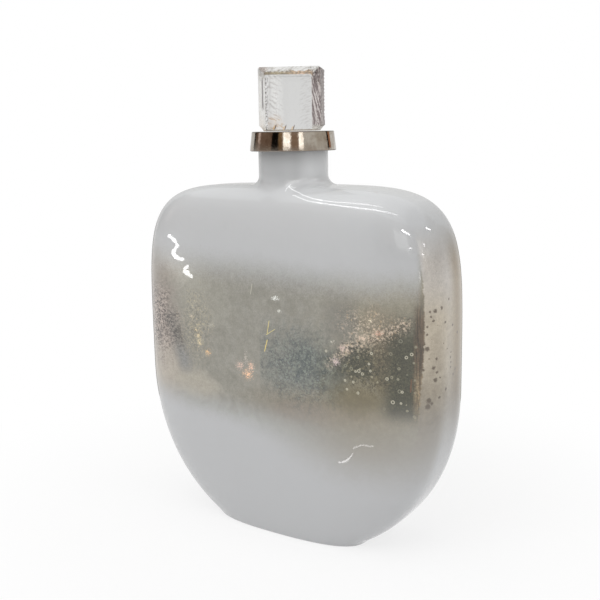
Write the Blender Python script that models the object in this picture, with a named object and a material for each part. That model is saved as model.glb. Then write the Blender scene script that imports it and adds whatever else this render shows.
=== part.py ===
"""A flattened flask of blown glass with a flared metal collar and a crystal cube for a knob.

Metres, +Z up. The origin is the centre of the base. X runs along the width, and the front is -Y.
"""

from collections import namedtuple
from math import cos, pi, radians, sin, sqrt

import bmesh
import bpy
from mathutils import Vector

# Clearances
FIT_GAP = 0.0003  # between pieces that touch
SLIDE_GAP = 0.0009  # between the plug and the bore
SKIRT_GAP = 0.0007  # between the collar's skirt and the neck
CUT_OVERRUN = 0.001

# Glass flask, outside
BODY_WIDTH = 0.2246
BODY_DEPTH = 0.068
BASE_WIDTH = 0.108
BASE_DEPTH = 0.057
WIDEST_HEIGHT = 0.106
SHOULDER_HEIGHT = 0.229
NECK_DIAMETER = 0.0445
NECK_LENGTH = 0.0293
NECK_FILLET = 0.006
LIP_ROUNDING = 0.0008
BASE_EDGE = 0.002

# Glass flask, inside and underneath
GLASS_WALL = 0.004
FLOOR_THICKNESS = 0.007
FLOOR_EDGE = 0.006
STANDING_RIM = 0.008
PUSH_UP = 0.0015

# How full the curves of the flask are: 2 is an ellipse, and more is squarer
SHOULDER_CURVE = 5.3  # the front outline, from the widest height up
LOWER_CURVE = 2.2  # the front outline, from the widest height down
CROWN_CURVE = 5.0  # the side outline, upwards
LOWER_SIDE_CURVE = 2.8  # the side outline, downwards
FACE_CURVE = 5.0  # the level section, along X
END_CURVE = 3.5  # the level section, along Y
BASE_FACE_CURVE = 2.5
BASE_END_CURVE = 3.9
SQUARING_SHARE = 0.4  # share of the shoulder height at which the base section has become the body section

# Soft ring on the lip
GASKET_THICKNESS = 0.0012
GASKET_OVERHANG = 0.0005

# Collar
COLLAR_HEIGHT = 0.0121
COLLAR_PLATE = 0.0024
COLLAR_TOP_DIAMETER = 0.0522
COLLAR_BOTTOM_DIAMETER = 0.0551
COLLAR_EDGE = 0.0004
BOSS_DIAMETER = 0.012
BOSS_LENGTH = 0.007

# Plug and its soft rings
PLUG_LENGTH = 0.024
PLUG_CHAMFER = 0.0015
SEAL_THICKNESS = 0.0034
SEAL_SPACING = 0.009
UPPER_SEAL_DEPTH = 0.0085
COUNTERBORE_DEPTH = 0.006

# Screw and washer
SCREW_DIAMETER = 0.005
SCREW_HEAD_DIAMETER = 0.0092
SCREW_HEAD_HEIGHT = 0.0032
SCREW_BITE = 0.0055
SOCKET_WIDTH = 0.003
SOCKET_DEPTH = 0.0018
WASHER_DIAMETER = 0.015
WASHER_THICKNESS = 0.0012

# Crystal
CUBE_SIDE = 0.0387
CUBE_CHAMFER = 0.005
CUBE_FOOT_CHAMFER = 0.0035
CUBE_TOP_EDGE = 0.001
CUBE_TURN = radians(27)

# Facets
FLASK_SIDES = 56
ROUND_SIDES = 48
SMALL_SIDES = 32
SEAL_FACETS = 8
SHARP_ANGLE = radians(35)
SEARCH_STEPS = 40
EDGE_SWEEP = radians(60)  # of the rounding between a floor and its wall

# Where the rings of the flask lie, as shares of the stretch that they divide
LOWER_WALL_SHARES = (0.1, 0.22, 0.36, 0.52, 0.7, 0.86)
UPPER_WALL_SHARES = (0.0, 0.25, 0.5, 0.72, 0.86, 0.95, 1.0)
SHOULDER_SHARES = (0.06, 0.16, 0.32, 0.55, 0.8, 1.0)
ROUND_SHARES = (0.0, 0.35, 0.7, 1.0)
FILLET_SHARES = (0.25, 0.5, 0.75, 1.0)
PUSH_UP_SHARES = (0.35, 0.7)
FILLET_LIMIT_SHARE = 0.9  # of the ledge between the neck and the faces

# Places worked out from the sizes above
NECK_RADIUS = NECK_DIAMETER / 2
MOUTH_HEIGHT = SHOULDER_HEIGHT + NECK_LENGTH
BORE_RADIUS = NECK_RADIUS - GLASS_WALL
PLATE_UNDERSIDE = MOUTH_HEIGHT + FIT_GAP + GASKET_THICKNESS + FIT_GAP
COLLAR_TOP = PLATE_UNDERSIDE + COLLAR_PLATE
COLLAR_BOTTOM = COLLAR_TOP - COLLAR_HEIGHT
PLUG_TOP = PLATE_UNDERSIDE - FIT_GAP
PLUG_BOTTOM = PLUG_TOP - PLUG_LENGTH
PLUG_RADIUS = BORE_RADIUS - SLIDE_GAP
SCREW_HOLE_RADIUS = SCREW_DIAMETER / 2 + FIT_GAP
COUNTERBORE_TOP = PLUG_BOTTOM + COUNTERBORE_DEPTH

# One skin of the flask, the outer or the inner one
Skin = namedtuple("Skin", "half_width half_depth base_half_width base_half_depth floor top tube fillet")


def clear_scene():
    for obj in list(bpy.data.objects):
        bpy.data.objects.remove(obj, do_unlink=True)


def finish(name, colour, roughness, metallic=0.0, transmission=0.0):
    material = bpy.data.materials.new(name)
    material.use_nodes = True
    shader = material.node_tree.nodes["Principled BSDF"]
    shader.inputs["Base Color"].default_value = (*colour, 1.0)
    shader.inputs["Roughness"].default_value = roughness
    shader.inputs["Metallic"].default_value = metallic
    shader.inputs["Transmission Weight"].default_value = transmission
    return material


def add_object(name, bm, material, smooth=True):
    bmesh.ops.recalc_face_normals(bm, faces=bm.faces)
    mesh = bpy.data.meshes.new(name)
    bm.to_mesh(mesh)
    bm.free()
    mesh.materials.append(material)
    if smooth:
        mesh.shade_smooth()
        mesh.set_sharp_from_angle(angle=SHARP_ANGLE)
    obj = bpy.data.objects.new(name, mesh)
    bpy.context.scene.collection.objects.link(obj)
    return obj


def add_pivot(name, height):
    pivot = bpy.data.objects.new(name, None)
    pivot.location = (0, 0, height)
    bpy.context.scene.collection.objects.link(pivot)
    return pivot


def carry(pivot, *pieces):
    """Parents the pieces to the pivot, where they are."""
    for piece in pieces:
        piece.parent = pivot
        piece.matrix_parent_inverse.translation = -pivot.location


def loft(rings, closed=False):
    """A mesh through rings of equally many points. A ring of one point closes an end."""
    bm = bmesh.new()
    rows = [[bm.verts.new(point) for point in ring] for ring in rings]
    pairs = list(zip(rows, rows[1:]))
    if closed:
        pairs.append((rows[-1], rows[0]))
    for first, second in pairs:
        count = max(len(first), len(second))
        for i in range(count):
            j = (i + 1) % count
            if len(first) == 1:
                bm.faces.new((first[0], second[j], second[i]))
            elif len(second) == 1:
                bm.faces.new((first[i], first[j], second[0]))
            else:
                bm.faces.new((first[i], first[j], second[j], second[i]))
    return bm


def turned(outline, sides, closed=False):
    """The outline, points of radius and height, turned about Z. A radius of zero closes an end."""
    rings = []
    for radius, height in outline:
        if radius == 0:
            rings.append([(0, 0, height)])
        else:
            angles = [2 * pi * i / sides for i in range(sides)]
            rings.append([(radius * cos(a), radius * sin(a), height) for a in angles])
    return loft(rings, closed)


# Flask


def flask_skins():
    """The outer skin, and the inner one a wall's thickness inside it."""
    outer_fillet = min(NECK_FILLET, FILLET_LIMIT_SHARE * (BODY_DEPTH / 2 - NECK_RADIUS))
    outer = Skin(
        half_width=BODY_WIDTH / 2,
        half_depth=BODY_DEPTH / 2,
        base_half_width=BASE_WIDTH / 2,
        base_half_depth=BASE_DEPTH / 2,
        floor=0,
        top=SHOULDER_HEIGHT,
        tube=NECK_RADIUS,
        fillet=outer_fillet,
    )
    inner = Skin(
        half_width=outer.half_width - GLASS_WALL,
        half_depth=outer.half_depth - GLASS_WALL,
        base_half_width=outer.base_half_width - GLASS_WALL,
        base_half_depth=outer.base_half_depth - GLASS_WALL,
        floor=FLOOR_THICKNESS,
        top=outer.top - GLASS_WALL,
        tube=BORE_RADIUS,
        fillet=outer_fillet,
    )
    return outer, inner


def narrowing(share, curve):
    """What is left of a half size at this share of the way along a curve to its tip."""
    return max(1 - share**curve, 0) ** (1 / curve)


def half_sizes(skin, height):
    """The half width and half depth of the skin at a height."""
    if height >= WIDEST_HEIGHT:
        rise = (height - WIDEST_HEIGHT) / (skin.top - WIDEST_HEIGHT)
        return skin.half_width * narrowing(rise, SHOULDER_CURVE), skin.half_depth * narrowing(rise, CROWN_CURVE)
    drop = (WIDEST_HEIGHT - height) / (WIDEST_HEIGHT - skin.floor)
    reach_x = narrowing(skin.base_half_width / skin.half_width, LOWER_CURVE)
    reach_y = narrowing(skin.base_half_depth / skin.half_depth, LOWER_SIDE_CURVE)
    half_width = skin.half_width * narrowing(drop * reach_x, LOWER_CURVE)
    half_depth = skin.half_depth * narrowing(drop * reach_y, LOWER_SIDE_CURVE)
    return half_width, half_depth


def section_curves(height):
    """How square the level section is along X and along Y."""
    share = min(height / (SQUARING_SHARE * SHOULDER_HEIGHT), 1)
    along_x = BASE_FACE_CURVE + (FACE_CURVE - BASE_FACE_CURVE) * share
    along_y = BASE_END_CURVE + (END_CURVE - BASE_END_CURVE) * share
    return along_x, along_y


def search(is_low, low, high):
    """The value between low and high where is_low turns false."""
    for _ in range(SEARCH_STEPS):
        middle = (low + high) / 2
        if is_low(middle):
            low = middle
        else:
            high = middle
    return (low + high) / 2


def section_ring(half_width, half_depth, curves, height):
    """A level ring: a rounded oblong whose fullness follows the two curves."""
    ring = []
    for i in range(FLASK_SIDES):
        angle = 2 * pi * i / FLASK_SIDES
        x, y = cos(angle), sin(angle)
        scale = search(lambda s: abs(s * x) ** curves[0] + abs(s * y) ** curves[1] < 1, 1, 2)
        ring.append((half_width * scale * x, half_depth * scale * y, height))
    return ring


def wall_ring(skin, height, inset=0, ring_height=None):
    half_width, half_depth = half_sizes(skin, height)
    placed = height if ring_height is None else ring_height
    return section_ring(half_width - inset, half_depth - inset, section_curves(height), placed)


def shoulder_height(skin, x, y):
    """The height of the skin's upper side over a point."""

    def inside(height):
        half_width, half_depth = half_sizes(skin, height)
        if min(half_width, half_depth) == 0:
            return False
        along_x, along_y = section_curves(height)
        return abs(x / half_width) ** along_x + abs(y / half_depth) ** along_y < 1

    return search(inside, WIDEST_HEIGHT, skin.top)


def shoulder_rings(skin):
    """Rings from the crown of the wall in to the foot of the neck, then up its fillet."""
    foot_radius = skin.tube + skin.fillet
    crown = crown_height(skin)
    start = wall_ring(skin, crown)
    rings = []
    for share in SHOULDER_SHARES:
        ring = []
        for i, (x, y, _) in enumerate(start):
            angle = 2 * pi * i / FLASK_SIDES
            x += (foot_radius * cos(angle) - x) * share
            y += (foot_radius * sin(angle) - y) * share
            ring.append((x, y, shoulder_height(skin, x, y)))
        rings.append(ring)
    for share in FILLET_SHARES:
        inward = skin.fillet * sin(share * pi / 2)
        lift = skin.fillet - sqrt(skin.fillet**2 - inward**2)
        ring = []
        for i in range(FLASK_SIDES):
            angle = 2 * pi * i / FLASK_SIDES
            x = (foot_radius - inward) * cos(angle)
            y = (foot_radius - inward) * sin(angle)
            ring.append((x, y, shoulder_height(skin, x, y) + lift))
        rings.append(ring)
    return rings


def crown_height(skin):
    """The height at which the wall's half depth is midway between the body's and the neck foot's."""
    foot_radius = skin.tube + skin.fillet
    wanted = foot_radius + (skin.half_depth - foot_radius) / 4
    rise = narrowing(wanted / skin.half_depth, CROWN_CURVE)
    return WIDEST_HEIGHT + (skin.top - WIDEST_HEIGHT) * rise


def side_rings(skin, start):
    """The rings of one skin from a height near the floor up to the foot of the neck."""
    rings = [wall_ring(skin, start + (WIDEST_HEIGHT - start) * share) for share in LOWER_WALL_SHARES]
    rise = crown_height(skin) - WIDEST_HEIGHT
    rings += [wall_ring(skin, WIDEST_HEIGHT + rise * share) for share in UPPER_WALL_SHARES]
    return rings + shoulder_rings(skin)


def edge_rings(skin, radius):
    """Rings round the edge between the floor and the wall."""
    top = skin.floor + radius
    rings = []
    for share in ROUND_SHARES:
        angle = share * EDGE_SWEEP
        rings.append(wall_ring(skin, top, radius * (1 - sin(angle)), top - radius * cos(angle)))
    return rings


def neck_rings():
    """Rings over the rounded lip, from outside to inside."""
    middle = (NECK_RADIUS + BORE_RADIUS) / 2
    profile = [
        (NECK_RADIUS, MOUTH_HEIGHT - LIP_ROUNDING),
        (NECK_RADIUS - LIP_ROUNDING / 3, MOUTH_HEIGHT - LIP_ROUNDING / 3),
        (NECK_RADIUS - LIP_ROUNDING, MOUTH_HEIGHT),
        (middle, MOUTH_HEIGHT),
        (BORE_RADIUS + LIP_ROUNDING, MOUTH_HEIGHT),
        (BORE_RADIUS + LIP_ROUNDING / 3, MOUTH_HEIGHT - LIP_ROUNDING / 3),
        (BORE_RADIUS, MOUTH_HEIGHT - LIP_ROUNDING),
    ]
    angles = [2 * pi * i / FLASK_SIDES for i in range(FLASK_SIDES)]
    return [[(r * cos(a), r * sin(a), z) for a in angles] for r, z in profile]


def underside_rings(skin):
    """The shallow push-up inside the rim that the flask stands on, from the centre out."""
    rings = [[(0, 0, PUSH_UP)]]
    rim = wall_ring(skin, BASE_EDGE, BASE_EDGE + STANDING_RIM, 0)
    for share in PUSH_UP_SHARES:
        rings.append([(x * share, y * share, PUSH_UP * (1 - share**2)) for x, y, _ in rim])
    return rings + [rim]


def floor_rings(skin, edge):
    """The inside floor, from its edge to the centre."""
    return [[(x / 2, y / 2, skin.floor) for x, y, _ in edge], [(0, 0, skin.floor)]]


def glass_bottle():
    outer, inner = flask_skins()
    rings = underside_rings(outer)
    rings += edge_rings(outer, BASE_EDGE)
    rings += side_rings(outer, outer.floor + BASE_EDGE)
    rings += neck_rings()
    inside = edge_rings(inner, FLOOR_EDGE)
    inside += side_rings(inner, inner.floor + FLOOR_EDGE)
    rings += reversed(inside)
    rings += floor_rings(inner, inside[0])
    return add_object("glass_bottle", loft(rings), finish("coated_glass", (0.74, 0.75, 0.74), 0.08))


# Stopper


def collar_cap():
    top_radius = COLLAR_TOP_DIAMETER / 2
    bottom_radius = COLLAR_BOTTOM_DIAMETER / 2
    skirt_radius = NECK_RADIUS + SKIRT_GAP
    boss_radius = BOSS_DIAMETER / 2
    boss_bottom = PLATE_UNDERSIDE - BOSS_LENGTH
    hole_top = boss_bottom + SCREW_BITE + FIT_GAP
    outline = [
        (0, COLLAR_TOP),
        (top_radius - COLLAR_EDGE, COLLAR_TOP),
        (top_radius, COLLAR_TOP - COLLAR_EDGE),
        (bottom_radius, COLLAR_BOTTOM + COLLAR_EDGE),
        (bottom_radius - COLLAR_EDGE, COLLAR_BOTTOM),
        (skirt_radius + COLLAR_EDGE, COLLAR_BOTTOM),
        (skirt_radius, COLLAR_BOTTOM + COLLAR_EDGE),
        (skirt_radius, PLATE_UNDERSIDE),
        (boss_radius, PLATE_UNDERSIDE),
        (boss_radius, boss_bottom),
        (SCREW_HOLE_RADIUS, boss_bottom),
        (SCREW_HOLE_RADIUS, hole_top),
        (0, hole_top),
    ]
    nickel = finish("polished_nickel", (0.66, 0.62, 0.57), 0.12, metallic=1.0)
    return add_object("collar_cap", turned(outline, ROUND_SIDES), nickel)


def slice_off(bm, normal, leg):
    """Cuts a chamfer with this leg off the edge of the cube that the normal points at."""
    direction = Vector(normal).normalized()
    corner = Vector(normal) * CUBE_SIDE / 2
    point = corner - direction * leg / sqrt(2)
    geometry = bm.verts[:] + bm.edges[:] + bm.faces[:]
    cut = bmesh.ops.bisect_plane(bm, geom=geometry, plane_co=point, plane_no=direction, clear_outer=True)
    rim = [item for item in cut["geom_cut"] if isinstance(item, bmesh.types.BMEdge)]
    bmesh.ops.holes_fill(bm, edges=rim)


def crystal_cube():
    """Its front and back faces are framed by chamfers. The edges between them are only eased at the top."""
    bm = bmesh.new()
    bmesh.ops.create_cube(bm, size=CUBE_SIDE)
    for side in (-1, 1):
        for across in (-1, 1):
            slice_off(bm, (across, side, 0), CUBE_CHAMFER)
        slice_off(bm, (0, side, 1), CUBE_CHAMFER)
        slice_off(bm, (0, side, -1), CUBE_FOOT_CHAMFER)
        slice_off(bm, (side, 0, -1), CUBE_FOOT_CHAMFER)
        slice_off(bm, (side, 0, 1), CUBE_TOP_EDGE)
    crystal = finish("clear_crystal", (0.93, 0.93, 0.92), 0.02, transmission=0.9)
    cube = add_object("crystal_cube", bm, crystal, smooth=False)
    cube.location = (0, 0, COLLAR_TOP + FIT_GAP + CUBE_SIDE / 2)
    cube.rotation_euler = (0, 0, CUBE_TURN)
    return cube


def seal_centre(depth):
    """Radius and height of a soft ring's middle, this far below the top of the plug."""
    return BORE_RADIUS - FIT_GAP - SEAL_THICKNESS / 2, PLUG_TOP - depth


def plug_core():
    recess_radius = BOSS_DIAMETER / 2 + FIT_GAP
    recess_bottom = PLATE_UNDERSIDE - BOSS_LENGTH - FIT_GAP
    counterbore_radius = WASHER_DIAMETER / 2 + FIT_GAP
    outline = [(recess_radius, PLUG_TOP), (PLUG_RADIUS, PLUG_TOP)]
    for depth in (UPPER_SEAL_DEPTH, UPPER_SEAL_DEPTH + SEAL_SPACING):
        seal_radius, height = seal_centre(depth)
        groove_radius = seal_radius - SEAL_THICKNESS / 2 - FIT_GAP
        half_groove = SEAL_THICKNESS / 2 + FIT_GAP
        outline += [
            (PLUG_RADIUS, height + half_groove),
            (groove_radius, height + half_groove),
            (groove_radius, height - half_groove),
            (PLUG_RADIUS, height - half_groove),
        ]
    outline += [
        (PLUG_RADIUS, PLUG_BOTTOM + PLUG_CHAMFER),
        (PLUG_RADIUS - PLUG_CHAMFER, PLUG_BOTTOM),
        (counterbore_radius, PLUG_BOTTOM),
        (counterbore_radius, COUNTERBORE_TOP),
        (SCREW_HOLE_RADIUS, COUNTERBORE_TOP),
        (SCREW_HOLE_RADIUS, recess_bottom),
        (recess_radius, recess_bottom),
    ]
    moulding = finish("plug_moulding", (0.83, 0.83, 0.80), 0.45)
    return add_object("plug_core", turned(outline, ROUND_SIDES, closed=True), moulding)


def seal_ring(name, depth, material):
    radius, height = seal_centre(depth)
    angles = [2 * pi * i / SEAL_FACETS for i in range(SEAL_FACETS)]
    half = SEAL_THICKNESS / 2
    outline = [(radius + half * cos(a), height - half * sin(a)) for a in angles]
    return add_object(name, turned(outline, ROUND_SIDES, closed=True), material)


def lip_gasket(material):
    bottom = MOUTH_HEIGHT + FIT_GAP
    top = bottom + GASKET_THICKNESS
    inner_radius = PLUG_RADIUS + FIT_GAP
    outer_radius = NECK_RADIUS + GASKET_OVERHANG - FIT_GAP
    outline = [(inner_radius, top), (outer_radius, top), (outer_radius, bottom), (inner_radius, bottom)]
    return add_object("lip_gasket", turned(outline, ROUND_SIDES, closed=True), material)


def screw_washer(material):
    top = COUNTERBORE_TOP - FIT_GAP
    bottom = top - WASHER_THICKNESS
    outer_radius = WASHER_DIAMETER / 2
    outline = [
        (SCREW_HOLE_RADIUS, top),
        (outer_radius, top),
        (outer_radius, bottom),
        (SCREW_HOLE_RADIUS, bottom),
    ]
    return add_object("screw_washer", turned(outline, SMALL_SIDES, closed=True), material)


def plug_screw(material):
    head_top = COUNTERBORE_TOP - FIT_GAP - WASHER_THICKNESS - FIT_GAP
    head_bottom = head_top - SCREW_HEAD_HEIGHT
    tip = PLATE_UNDERSIDE - BOSS_LENGTH + SCREW_BITE
    radius = SCREW_DIAMETER / 2
    head_radius = SCREW_HEAD_DIAMETER / 2
    edge = SCREW_HEAD_HEIGHT / 5
    outline = [
        (0, tip),
        (radius - edge, tip),
        (radius, tip - edge),
        (radius, head_top),
        (head_radius, head_top),
        (head_radius, head_bottom + edge),
        (head_radius - edge, head_bottom),
        (0, head_bottom),
    ]
    screw = add_object("plug_screw", turned(outline, SMALL_SIDES), material)
    cutter = add_object("socket_cutter", hexagonal_prism(head_bottom), material, smooth=False)
    cutter.hide_render = True
    cutter.display_type = "WIRE"
    socket = screw.modifiers.new("socket", "BOOLEAN")
    socket.operation = "DIFFERENCE"
    socket.object = cutter
    return screw


def hexagonal_prism(mouth):
    """The socket's hexagon, from below the mouth of the socket up to its end."""
    corner_radius = SOCKET_WIDTH / 2 / cos(pi / 6)
    low = mouth - CUT_OVERRUN
    high = mouth + SOCKET_DEPTH
    outline = [(0, high), (corner_radius, high), (corner_radius, low), (0, low)]
    return turned(outline, 6)


def build():
    clear_scene()
    silicone = finish("clear_silicone", (0.78, 0.78, 0.76), 0.5)
    steel = finish("screw_steel", (0.55, 0.55, 0.56), 0.3, metallic=1.0)
    glass_bottle()

    gasket = lip_gasket(silicone)
    upper_seal = seal_ring("seal_ring_upper", UPPER_SEAL_DEPTH, silicone)
    lower_seal = seal_ring("seal_ring_lower", UPPER_SEAL_DEPTH + SEAL_SPACING, silicone)
    lift_pivot = add_pivot("stopper_lift", MOUTH_HEIGHT)
    carry(lift_pivot, gasket, upper_seal, lower_seal)

    turn_pivot = add_pivot("stopper_turn", COLLAR_TOP)
    pieces = [collar_cap(), crystal_cube(), plug_core(), screw_washer(steel), plug_screw(steel)]
    carry(turn_pivot, *pieces, bpy.data.objects["socket_cutter"])
    carry(lift_pivot, turn_pivot)


build()
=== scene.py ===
"""The looks of a flattened glass flask with a nickel collar and a crystal cube."""

from functools import reduce
from math import atan, cos, pi, radians, sin, sqrt
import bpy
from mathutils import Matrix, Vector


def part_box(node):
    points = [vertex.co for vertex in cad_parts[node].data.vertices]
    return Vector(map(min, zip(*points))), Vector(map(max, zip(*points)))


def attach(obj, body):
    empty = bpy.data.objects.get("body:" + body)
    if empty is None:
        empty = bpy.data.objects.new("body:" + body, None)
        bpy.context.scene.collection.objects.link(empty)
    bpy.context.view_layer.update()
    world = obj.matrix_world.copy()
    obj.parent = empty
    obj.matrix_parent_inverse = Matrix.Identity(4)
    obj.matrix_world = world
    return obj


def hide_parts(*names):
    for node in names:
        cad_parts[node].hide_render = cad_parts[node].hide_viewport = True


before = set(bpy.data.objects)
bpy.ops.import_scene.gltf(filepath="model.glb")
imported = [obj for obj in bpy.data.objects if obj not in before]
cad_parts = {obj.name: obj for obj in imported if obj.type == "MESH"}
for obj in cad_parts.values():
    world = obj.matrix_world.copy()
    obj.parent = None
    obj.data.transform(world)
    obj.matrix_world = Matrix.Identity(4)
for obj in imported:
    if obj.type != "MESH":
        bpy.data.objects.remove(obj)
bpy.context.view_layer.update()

from types import SimpleNamespace

import bmesh
import bpy
import numpy as np
from mathutils import Matrix, Vector, noise
from mathutils.bvhtree import BVHTree
from mathutils.interpolate import poly_3d_calc

MM = 0.001

# Camera, as fitted to the photograph
PHOTO_SIZE = 600
FOCAL_PIXELS = 900
SENSOR = 36
EYE_LEVEL_PIXEL = 129
CAMERA_AZIMUTH = radians(33.8)
CAMERA_DISTANCE = 0.5818
CAMERA_HEIGHT = 0.2638
CAMERA_YAW = 0.0047
CAMERA_ROLL = -0.0169

# Flask: the curves of the solid, for a denser mesh
FLASK_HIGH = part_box("glass_bottle")[1]
MOUTH_HEIGHT = FLASK_HIGH.z
SHOULDER_HEIGHT = 0.229
WIDEST_HEIGHT = 0.106
BASE_WIDTH = 0.108
BASE_DEPTH = 0.057
NECK_RADIUS = 0.02225
NECK_FILLET = 0.006
GLASS_WALL = 0.004
FLOOR_THICKNESS = 0.007
BASE_EDGE = 0.002
FLOOR_EDGE = 0.006
STANDING_RIM = 0.008
PUSH_UP = 0.0015
PUSH_UP_SHARES = (0.2, 0.4, 0.6, 0.8, 0.93)
SHOULDER_CURVE = 5.3
LOWER_CURVE = 2.2
CROWN_CURVE = 5.0
LOWER_SIDE_CURVE = 2.8
FACE_CURVE = 5.0
END_CURVE = 3.5
BASE_FACE_CURVE = 2.5
BASE_END_CURVE = 3.9
SQUARING_SHARE = 0.4
BORE_RADIUS = NECK_RADIUS - GLASS_WALL
FLASK_SIDES = 256
OUTER_RINGS = (56, 40, 10)
INNER_RINGS = (20, 14, 6)
SEARCH_STEPS = 34
TINY = 1e-12
FLOOR_ROUND_ANGLE = pi / 3
FLOOR_ROUND_STEPS = 6
SHOULDER_EASE = 1.6
NECK_RUN = 0.02
NECK_RUN_SHARES = (0.75, 0.5, 0.3)
LIP_ROUND = 0.0012
LIP_STEPS = 9
HOLLOW_FLOOR_SHARE = 0.5

# Stopper, from the frame
COLLAR_LOW, COLLAR_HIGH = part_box("collar_cap")
CUBE_LOW, CUBE_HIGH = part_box("crystal_cube")
CUBE_SIDE = CUBE_HIGH.z - CUBE_LOW.z
CUBE_TURN = radians(27)


# Small helpers


def linear(*srgb):
    """A colour written as 0 to 255, as the linear colour that nodes take."""
    shares = [v / 255 for v in srgb]
    return tuple(s / 12.92 if s <= 0.04045 else ((s + 0.055) / 1.055) ** 2.4 for s in shares)


def clamped(value):
    return min(max(value, 0), 1)


def zigzag(turns):
    """Goes from 1 down to 0 and back once a turn."""
    return abs((turns % 1) * 2 - 1)


def link_object(name, mesh, material, smooth=True):
    obj = bpy.data.objects.new(name, mesh)
    bpy.context.scene.collection.objects.link(obj)
    mesh.materials.append(material)
    if smooth:
        mesh.shade_smooth()
    return obj


def mesh_from(bm, name):
    mesh = bpy.data.meshes.new(name)
    bm.to_mesh(mesh)
    bm.free()
    return mesh


def mesh_of_rings(name, rings):
    """A mesh through rings of equally many points. A ring of one point closes an end."""
    bm = bmesh.new()
    rings = [[bm.verts.new(tuple(place)) for place in ring] for ring in rings]
    for first, second in zip(rings, rings[1:]):
        count = max(len(first), len(second))
        for i in range(count):
            j = (i + 1) % count
            if len(first) == 1:
                bm.faces.new((first[0], second[j], second[i]))
            elif len(second) == 1:
                bm.faces.new((first[i], first[j], second[0]))
            else:
                bm.faces.new((first[i], first[j], second[j], second[i]))
    bmesh.ops.recalc_face_normals(bm, faces=bm.faces)
    return mesh_from(bm, name)


def turned_mesh(name, outline, sides):
    angles = [2 * pi * i / sides for i in range(sides)]
    rings = []
    for radius, height in outline:
        ring = [(radius * cos(a), radius * sin(a), height) for a in angles]
        rings.append(ring if radius else ring[:1])
    return mesh_of_rings(name, rings)


# The most of a straight run that the rounding of one corner takes up, and its steps
ROUNDING_SHARE = 0.45
ROUNDING_STEPS = 5


def rounded(corners, radius):
    """The outline of radii and heights with each inner corner rounded."""
    points = [corners[0]]
    for before, corner, after in zip(corners, corners[1:], corners[2:]):
        here = Vector(corner)
        to_before, to_after = Vector(before) - here, Vector(after) - here
        reach = min(radius, to_before.length * ROUNDING_SHARE, to_after.length * ROUNDING_SHARE)
        start = here + to_before.normalized() * reach
        end = here + to_after.normalized() * reach
        for i in range(ROUNDING_STEPS + 1):
            t = i / ROUNDING_STEPS
            points.append(tuple(start * (1 - t) ** 2 + here * 2 * t * (1 - t) + end * t**2))
    return points + [corners[-1]]


class Graph:
    """The nodes of a material or a world, written as short calls."""

    def __init__(self, owner):
        owner.use_nodes = True
        self.nodes = owner.node_tree.nodes
        self.links = owner.node_tree.links

    def put(self, socket, value):
        if isinstance(value, bpy.types.NodeSocket):
            self.links.new(value, socket)
        elif isinstance(value, tuple) and len(socket.default_value) == 4:
            socket.default_value = (*value, 1)
        else:
            socket.default_value = value

    def node(self, kind, *values, **settings):
        """A new node of a kind, with its settings made and its first inputs filled in."""
        node = self.nodes.new("ShaderNode" + kind)
        for name, setting in settings.items():
            setattr(node, name, setting)
        for socket, value in zip(node.inputs, values):
            self.put(socket, value)
        return node

    def math(self, operation, *values):
        return self.node("Math", *values, operation=operation).outputs[0]

    def add(self, *values):
        return reduce(lambda a, b: self.math("ADD", a, b), values)

    def mul(self, *values):
        return reduce(lambda a, b: self.math("MULTIPLY", a, b), values)

    def largest(self, *values):
        return reduce(lambda a, b: self.math("MAXIMUM", a, b), values)

    def sub(self, a, b):
        return self.math("SUBTRACT", a, b)

    def muladd(self, a, b, c):
        return self.math("MULTIPLY_ADD", a, b, c)

    def size(self, value):
        """The value without its sign."""
        return self.math("ABSOLUTE", value)

    def step(self, value, low, high, start=0, end=1):
        """Goes smoothly from start to end as the value goes from low to high."""
        return self.node("MapRange", value, low, high, start, end, interpolation_type="SMOOTHSTEP").outputs[0]

    def fall(self, value, low, high):
        """Goes smoothly from 1 to 0 as the value goes from low to high."""
        return self.step(value, low, high, 1, 0)

    def seen(self):
        """1 where the camera, a mirror or clear glass looks, and 0 for the light that falls on things."""
        paths = self.node("LightPath").outputs
        rays = [paths[f"Is {kind} Ray"] for kind in ("Camera", "Glossy", "Transmission")]
        return self.math("MINIMUM", self.add(*rays), 1)


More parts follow.
